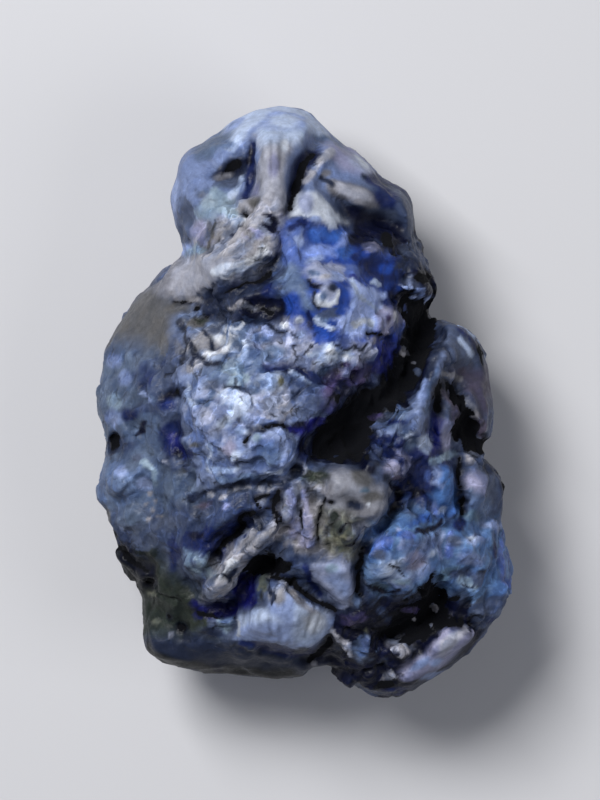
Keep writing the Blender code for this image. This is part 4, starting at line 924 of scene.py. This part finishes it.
# Then the forms. Lines and small ovals keep their shape, and the larger ones break up along the plates.
for tint_name, kind, size, rise, where in rows(FORMS, 4):
    size = numbers(size)
    keeps_shape = kind == "line" or (kind == "oval" and min(size[:2]) < LARGE_OVAL)
    places = shaken if keeps_shape else flaked
    # The black forms and their ink halos are partly dark mineral and partly painted shade in clefts and pits.
    if tint_name == "black":
        halo = cover(places, kind, resized(size, HALO_REACH[kind]), where, ragged) * dome * (0.7 - 0.5 * steep)
        colour += (tints["ink"] - colour) * halo[:, None]
        size = resized(size, CORE_REACH[kind])
    amount = cover(places, kind, size, where, ragged) * dome
    if tint_name == "black":
        amount *= 1.0 - 0.8 * steep
    if tint_name == "black" and kind == "line":
        amount *= ease(1.1 + 1.6 * noise_at(points, 1.3, 171.0))
    colour += (tints[tint_name] - colour) * amount[:, None]
    raise_by += RISE_SHARE * float(rise) * amount
    if tint_name == "black":
        dark = np.maximum(dark, amount)
    else:
        dark *= 1.0 - amount

points += normals * raise_by[:, None]
points[:, 2] = np.maximum(points[:, 2], 0.0)
move_mesh()

# Hollow places get painted shade and edges are painted paler, partly as wear and partly as highlight, so how
# hollow each point is goes into the colours.
normals = read_normals()
smooth = points.copy()
hollow = np.zeros(count)
for rounds in range(1, max(FULL_HOLLOW) + 1):
    smooth = evened(smooth)
    if rounds in FULL_HOLLOW:
        hollow += np.sum((smooth - points) * normals, axis=1) / FULL_HOLLOW[rounds]
hollow /= len(FULL_HOLLOW)

light = 1.0 + crisp * (SMALL_PLATES[3] * (small_shares[:, 0] - 0.5) + BROAD_PLATES[3] * (broad_shares[:, 0] - 0.5))
# Painted shade darkens the hollows, and edges are lightened, partly as wear and partly as painted highlight.
light -= np.where(hollow > 0, HOLLOW_SHADE, EDGE_WEAR_AND_HIGHLIGHT) * np.clip(hollow, -1.0, 1.0) * (0.4 + 0.6 * crisp)
# Painted shade in the grooves.
light *= 1.0 - GROOVE_SHADE * grooving
colour *= np.clip(light, 0.1, 1.7)[:, None]
# The dark share marks the black of the seams and of the black forms, the latter partly painted shade.
for name, values in (("dark", dark), ("crisp", crisp)):
    mesh.attributes.new(name, "FLOAT", "POINT").data.foreach_set("value", values)
layer = mesh.attributes.new("tint", "FLOAT_COLOR", "POINT")
layer.data.foreach_set("color", np.concatenate([np.clip(colour, 0.0, 1.0), np.ones((count, 1))], axis=1).ravel())
mesh.shade_smooth()


def add_node(tree, kind, settings=None, **links):
    """Adds a node. Settings are its own properties, and each link is an input's value or the socket that feeds it."""
    node = tree.nodes.new("ShaderNode" + kind)
    for name, value in (settings or {}).items():
        setattr(node, name, value)
    for name, value in links.items():
        key = int(name[1:]) if name[0] == "i" and name[1:].isdigit() else name.replace("_", " ")
        socket = node.inputs[key]
        if isinstance(value, bpy.types.NodeSocket):
            tree.links.new(value, socket)
        else:
            socket.default_value = value
    return node


# The stone's surface: rough corundum, between glassy and frosted, with facets too small to model. Its patterns are
# laid out in millimetres, so that each scale is how many flakes, grains or patches there are to a millimetre.
CORUNDUM_IOR = 1.77
# The black that the clefts are laid in, partly painted shade.
CLEFT_COLOUR = "#05060C"
material = bpy.data.materials.new("rough corundum and spar")
material.use_nodes = True
tree = material.node_tree
shader = tree.nodes["Principled BSDF"]
place = add_node(tree, "TexCoord").outputs["Object"]
in_mm = add_node(tree, "VectorMath", {"operation": "SCALE"}, Vector=place, Scale=1000.0).outputs[0]
tint = add_node(tree, "Attribute", {"attribute_name": "tint"}).outputs["Color"]
dark_share = add_node(tree, "Attribute", {"attribute_name": "dark"}).outputs["Fac"]
crisp_share = add_node(tree, "Attribute", {"attribute_name": "crisp"}).outputs["Fac"]

# Flakes too small to model: flat cells that each lean their own way, with their own lightness.
bend = add_node(tree, "TexNoise", Vector=in_mm, Scale=0.8, Detail=3.0, Roughness=0.6)
bent_place = add_node(tree, "VectorMath", {"operation": "MULTIPLY_ADD"}, i0=bend.outputs["Color"], i1=(1.4, 1.4, 1.4),
                      i2=in_mm)
drawn = add_node(tree, "Mapping", {"vector_type": "TEXTURE"}, Vector=bent_place.outputs[0], Rotation=(0.0, 0.0, 0.75),
                 Scale=(1.6, 1.0, 1.0)).outputs[0]
relief = None
flake_light = None
for scale, slope, spread in ((0.85, 0.45, 0.16), (1.9, 0.45, 0.16)):
    cells = add_node(tree, "TexVoronoi", {"feature": "F1"}, Vector=drawn, Scale=scale)
    offset = add_node(tree, "VectorMath", {"operation": "SUBTRACT"}, i0=drawn, i1=cells.outputs["Position"])
    lean = add_node(tree, "VectorMath", {"operation": "SUBTRACT"}, i0=cells.outputs["Color"], i1=(0.5, 0.5, 0.5))
    cell_height = add_node(tree, "VectorMath", {"operation": "DOT_PRODUCT"}, i0=offset.outputs[0], i1=lean.outputs[0])
    part = add_node(tree, "Math", {"operation": "MULTIPLY"}, i0=cell_height.outputs["Value"], i1=slope)
    relief = part.outputs[0] if relief is None else add_node(
        tree, "Math", {"operation": "ADD"}, i0=relief, i1=part.outputs[0]).outputs[0]
    split = add_node(tree, "SeparateColor", Color=cells.outputs["Color"])
    shade = add_node(tree, "MapRange", Value=split.outputs[0], To_Min=1.0 - spread, To_Max=1.0 + spread).outputs[0]
    flake_light = shade if flake_light is None else add_node(
        tree, "Math", {"operation": "MULTIPLY"}, i0=flake_light, i1=shade).outputs[0]
grit = add_node(tree, "TexNoise", Vector=in_mm, Scale=4.5, Detail=4.0, Roughness=0.6)
grit_height = add_node(tree, "Math", {"operation": "MULTIPLY"}, i0=grit.outputs["Fac"], i1=0.012)
flake_height = add_node(tree, "Math", {"operation": "MULTIPLY"}, i0=relief, i1=crisp_share)
bump_height = add_node(tree, "Math", {"operation": "ADD"}, i0=flake_height.outputs[0], i1=grit_height.outputs[0])
bump = add_node(tree, "Bump", Height=bump_height.outputs[0], Distance=MM, Strength=0.6)

# Thin cracks along some of the flakes' edges, and painted highlights along others.
rim = add_node(tree, "TexVoronoi", {"feature": "DISTANCE_TO_EDGE"}, Vector=drawn, Scale=0.85)
broken = add_node(tree, "TexNoise", Vector=in_mm, Scale=0.8, Detail=2.0)
crack_line = add_node(tree, "MapRange", Value=rim.outputs["Distance"], From_Min=0.015, From_Max=0.10, To_Min=0.75,
                      To_Max=0.0)
broken_share = add_node(tree, "MapRange", Value=broken.outputs["Fac"], From_Min=0.56, From_Max=0.67)
crack_some = add_node(tree, "Math", {"operation": "MULTIPLY"}, i0=crack_line.outputs[0], i1=broken_share.outputs[0])
crack = add_node(tree, "Math", {"operation": "MULTIPLY"}, i0=crack_some.outputs[0], i1=crisp_share)
pale_line = add_node(tree, "MapRange", Value=rim.outputs["Distance"], From_Min=0.02, From_Max=0.09, To_Min=1.0,
                     To_Max=0.0)
pale_share = add_node(tree, "MapRange", Value=broken.outputs["Fac"], From_Min=0.40, From_Max=0.48, To_Min=0.7,
                      To_Max=0.0)
pale = add_node(tree, "Math", {"operation": "MULTIPLY_ADD"}, i0=pale_line.outputs[0], i1=pale_share.outputs[0], i2=1.0)
flake_light = add_node(tree, "Math", {"operation": "MULTIPLY"}, i0=flake_light, i1=pale.outputs[0]).outputs[0]

# Patches about a millimetre across: painted blue shade where the stone looks clear, painted pale highlight where
# its skin looks frosted.
patch = add_node(tree, "TexNoise", Vector=drawn, Scale=0.9, Detail=3.0, Roughness=0.5)
shade_to_highlight = add_node(tree, "MapRange", {"interpolation_type": "SMOOTHSTEP"}, Value=patch.outputs["Fac"], From_Min=0.36,
                 From_Max=0.64)
patches = add_node(tree, "Mix", {"data_type": "RGBA"}, i0=shade_to_highlight.outputs[0], i6=(0.62, 0.70, 0.86, 1.0),
                   i7=(1.28, 1.22, 1.14, 1.0))

# Colour: fine mottling, then creases and the black of the clefts, partly painted shade, with edges that wander.
mottle = add_node(tree, "TexNoise", Vector=in_mm, Scale=2.4, Detail=5.0, Roughness=0.7)
mottle_light = add_node(tree, "MapRange", Value=mottle.outputs["Fac"], From_Min=0.3, From_Max=0.7, To_Min=0.8,
                        To_Max=1.2)
mottled = tint
for share, factor in ((crisp_share, patches.outputs[2]), (crisp_share, flake_light), (1.0, mottle_light.outputs[0])):
    mottled = add_node(tree, "Mix", {"data_type": "RGBA", "blend_type": "MULTIPLY"}, i0=share, i6=mottled,
                       i7=factor).outputs[2]
wander = add_node(tree, "MapRange", Value=mottle.outputs["Fac"], From_Min=0.3, From_Max=0.7, To_Min=-0.35, To_Max=0.35)
edge = add_node(tree, "Math", {"operation": "ADD"}, i0=dark_share, i1=wander.outputs[0])
mask = add_node(tree, "MapRange", {"interpolation_type": "SMOOTHSTEP"}, Value=edge.outputs[0], From_Min=0.34,
                From_Max=0.66)
creased = add_node(tree, "Math", {"operation": "MAXIMUM"}, i0=mask.outputs[0], i1=crack.outputs[0])
final = add_node(tree, "Mix", {"data_type": "RGBA"}, i0=creased.outputs[0], i6=mottled,
                 i7=linear(CLEFT_COLOUR))
tree.links.new(final.outputs[2], shader.inputs["Base Color"])
rough = add_node(tree, "MapRange", Value=grit.outputs["Fac"], From_Min=0.3, From_Max=0.7, To_Min=0.36, To_Max=0.58)
dull = add_node(tree, "Math", {"operation": "MAXIMUM"}, i0=rough.outputs[0], i1=mask.outputs[0])
tree.links.new(dull.outputs[0], shader.inputs["Roughness"])
tree.links.new(bump.outputs[0], shader.inputs["Normal"])
shader.inputs["Specular IOR Level"].default_value = 0.1
shader.inputs["IOR"].default_value = CORUNDUM_IOR
mesh.materials.append(material)

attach(stone, "root")
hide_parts("sapphire")

# The floor: a plain pale sheet that runs on past the picture.
bpy.ops.mesh.primitive_plane_add(size=3.0)
floor = bpy.context.active_object
floor.name = "floor"
paper = bpy.data.materials.new("pale paper")
paper.use_nodes = True
paper.node_tree.nodes["Principled BSDF"].inputs["Base Color"].default_value = linear("#C9C9CC")
paper.node_tree.nodes["Principled BSDF"].inputs["Roughness"].default_value = 0.9
floor.data.materials.append(paper)

# The light: a large soft window at the upper left, a weaker one on the right, and a dim even sky. Both lamps face the
# stone. Each row is a lamp's name, place and size in metres, and power in watts.
LAMPS = (
    ("window", (-0.15, 0.16, 0.33), 0.16, 1.75),
    ("fill", (0.30, -0.10, 0.30), 0.25, 0.4),
)
LAMP_AIM = Vector((0, 0, 0.01))
world = bpy.data.worlds.new("soft sky")
world.use_nodes = True
world.node_tree.nodes["Background"].inputs["Color"].default_value = (0.78, 0.84, 1.0, 1.0)
world.node_tree.nodes["Background"].inputs["Strength"].default_value = 0.14
bpy.context.scene.world = world
for name, spot, size, watts in LAMPS:
    lamp = bpy.data.lights.new(name, "AREA")
    lamp.size = size
    lamp.energy = watts
    holder = bpy.data.objects.new(name, lamp)
    holder.location = spot
    holder.rotation_euler = (Vector(spot) - LAMP_AIM).to_track_quat("Z", "Y").to_euler()
    bpy.context.scene.collection.objects.link(holder)

# The camera looks straight down from far off, with the narrow end of the stone at the top of the picture. At the
# framed height the picture is as tall as given here, in millimetres.
PICTURE_MIDDLE = (-0.18, -0.11)
PICTURE_HEIGHT = 57.14
FRAMED_HEIGHT = 8.0
lens = bpy.data.cameras.new("camera")
lens.lens = 400.0
lens.sensor_width = 36.0
camera = bpy.data.objects.new("camera", lens)
distance = PICTURE_HEIGHT * lens.lens / lens.sensor_width
camera.location = (PICTURE_MIDDLE[0] * MM, PICTURE_MIDDLE[1] * MM, (FRAMED_HEIGHT + distance) * MM)
bpy.context.scene.collection.objects.link(camera)
bpy.context.scene.camera = camera
bpy.context.scene.view_settings.view_transform = "Standard"
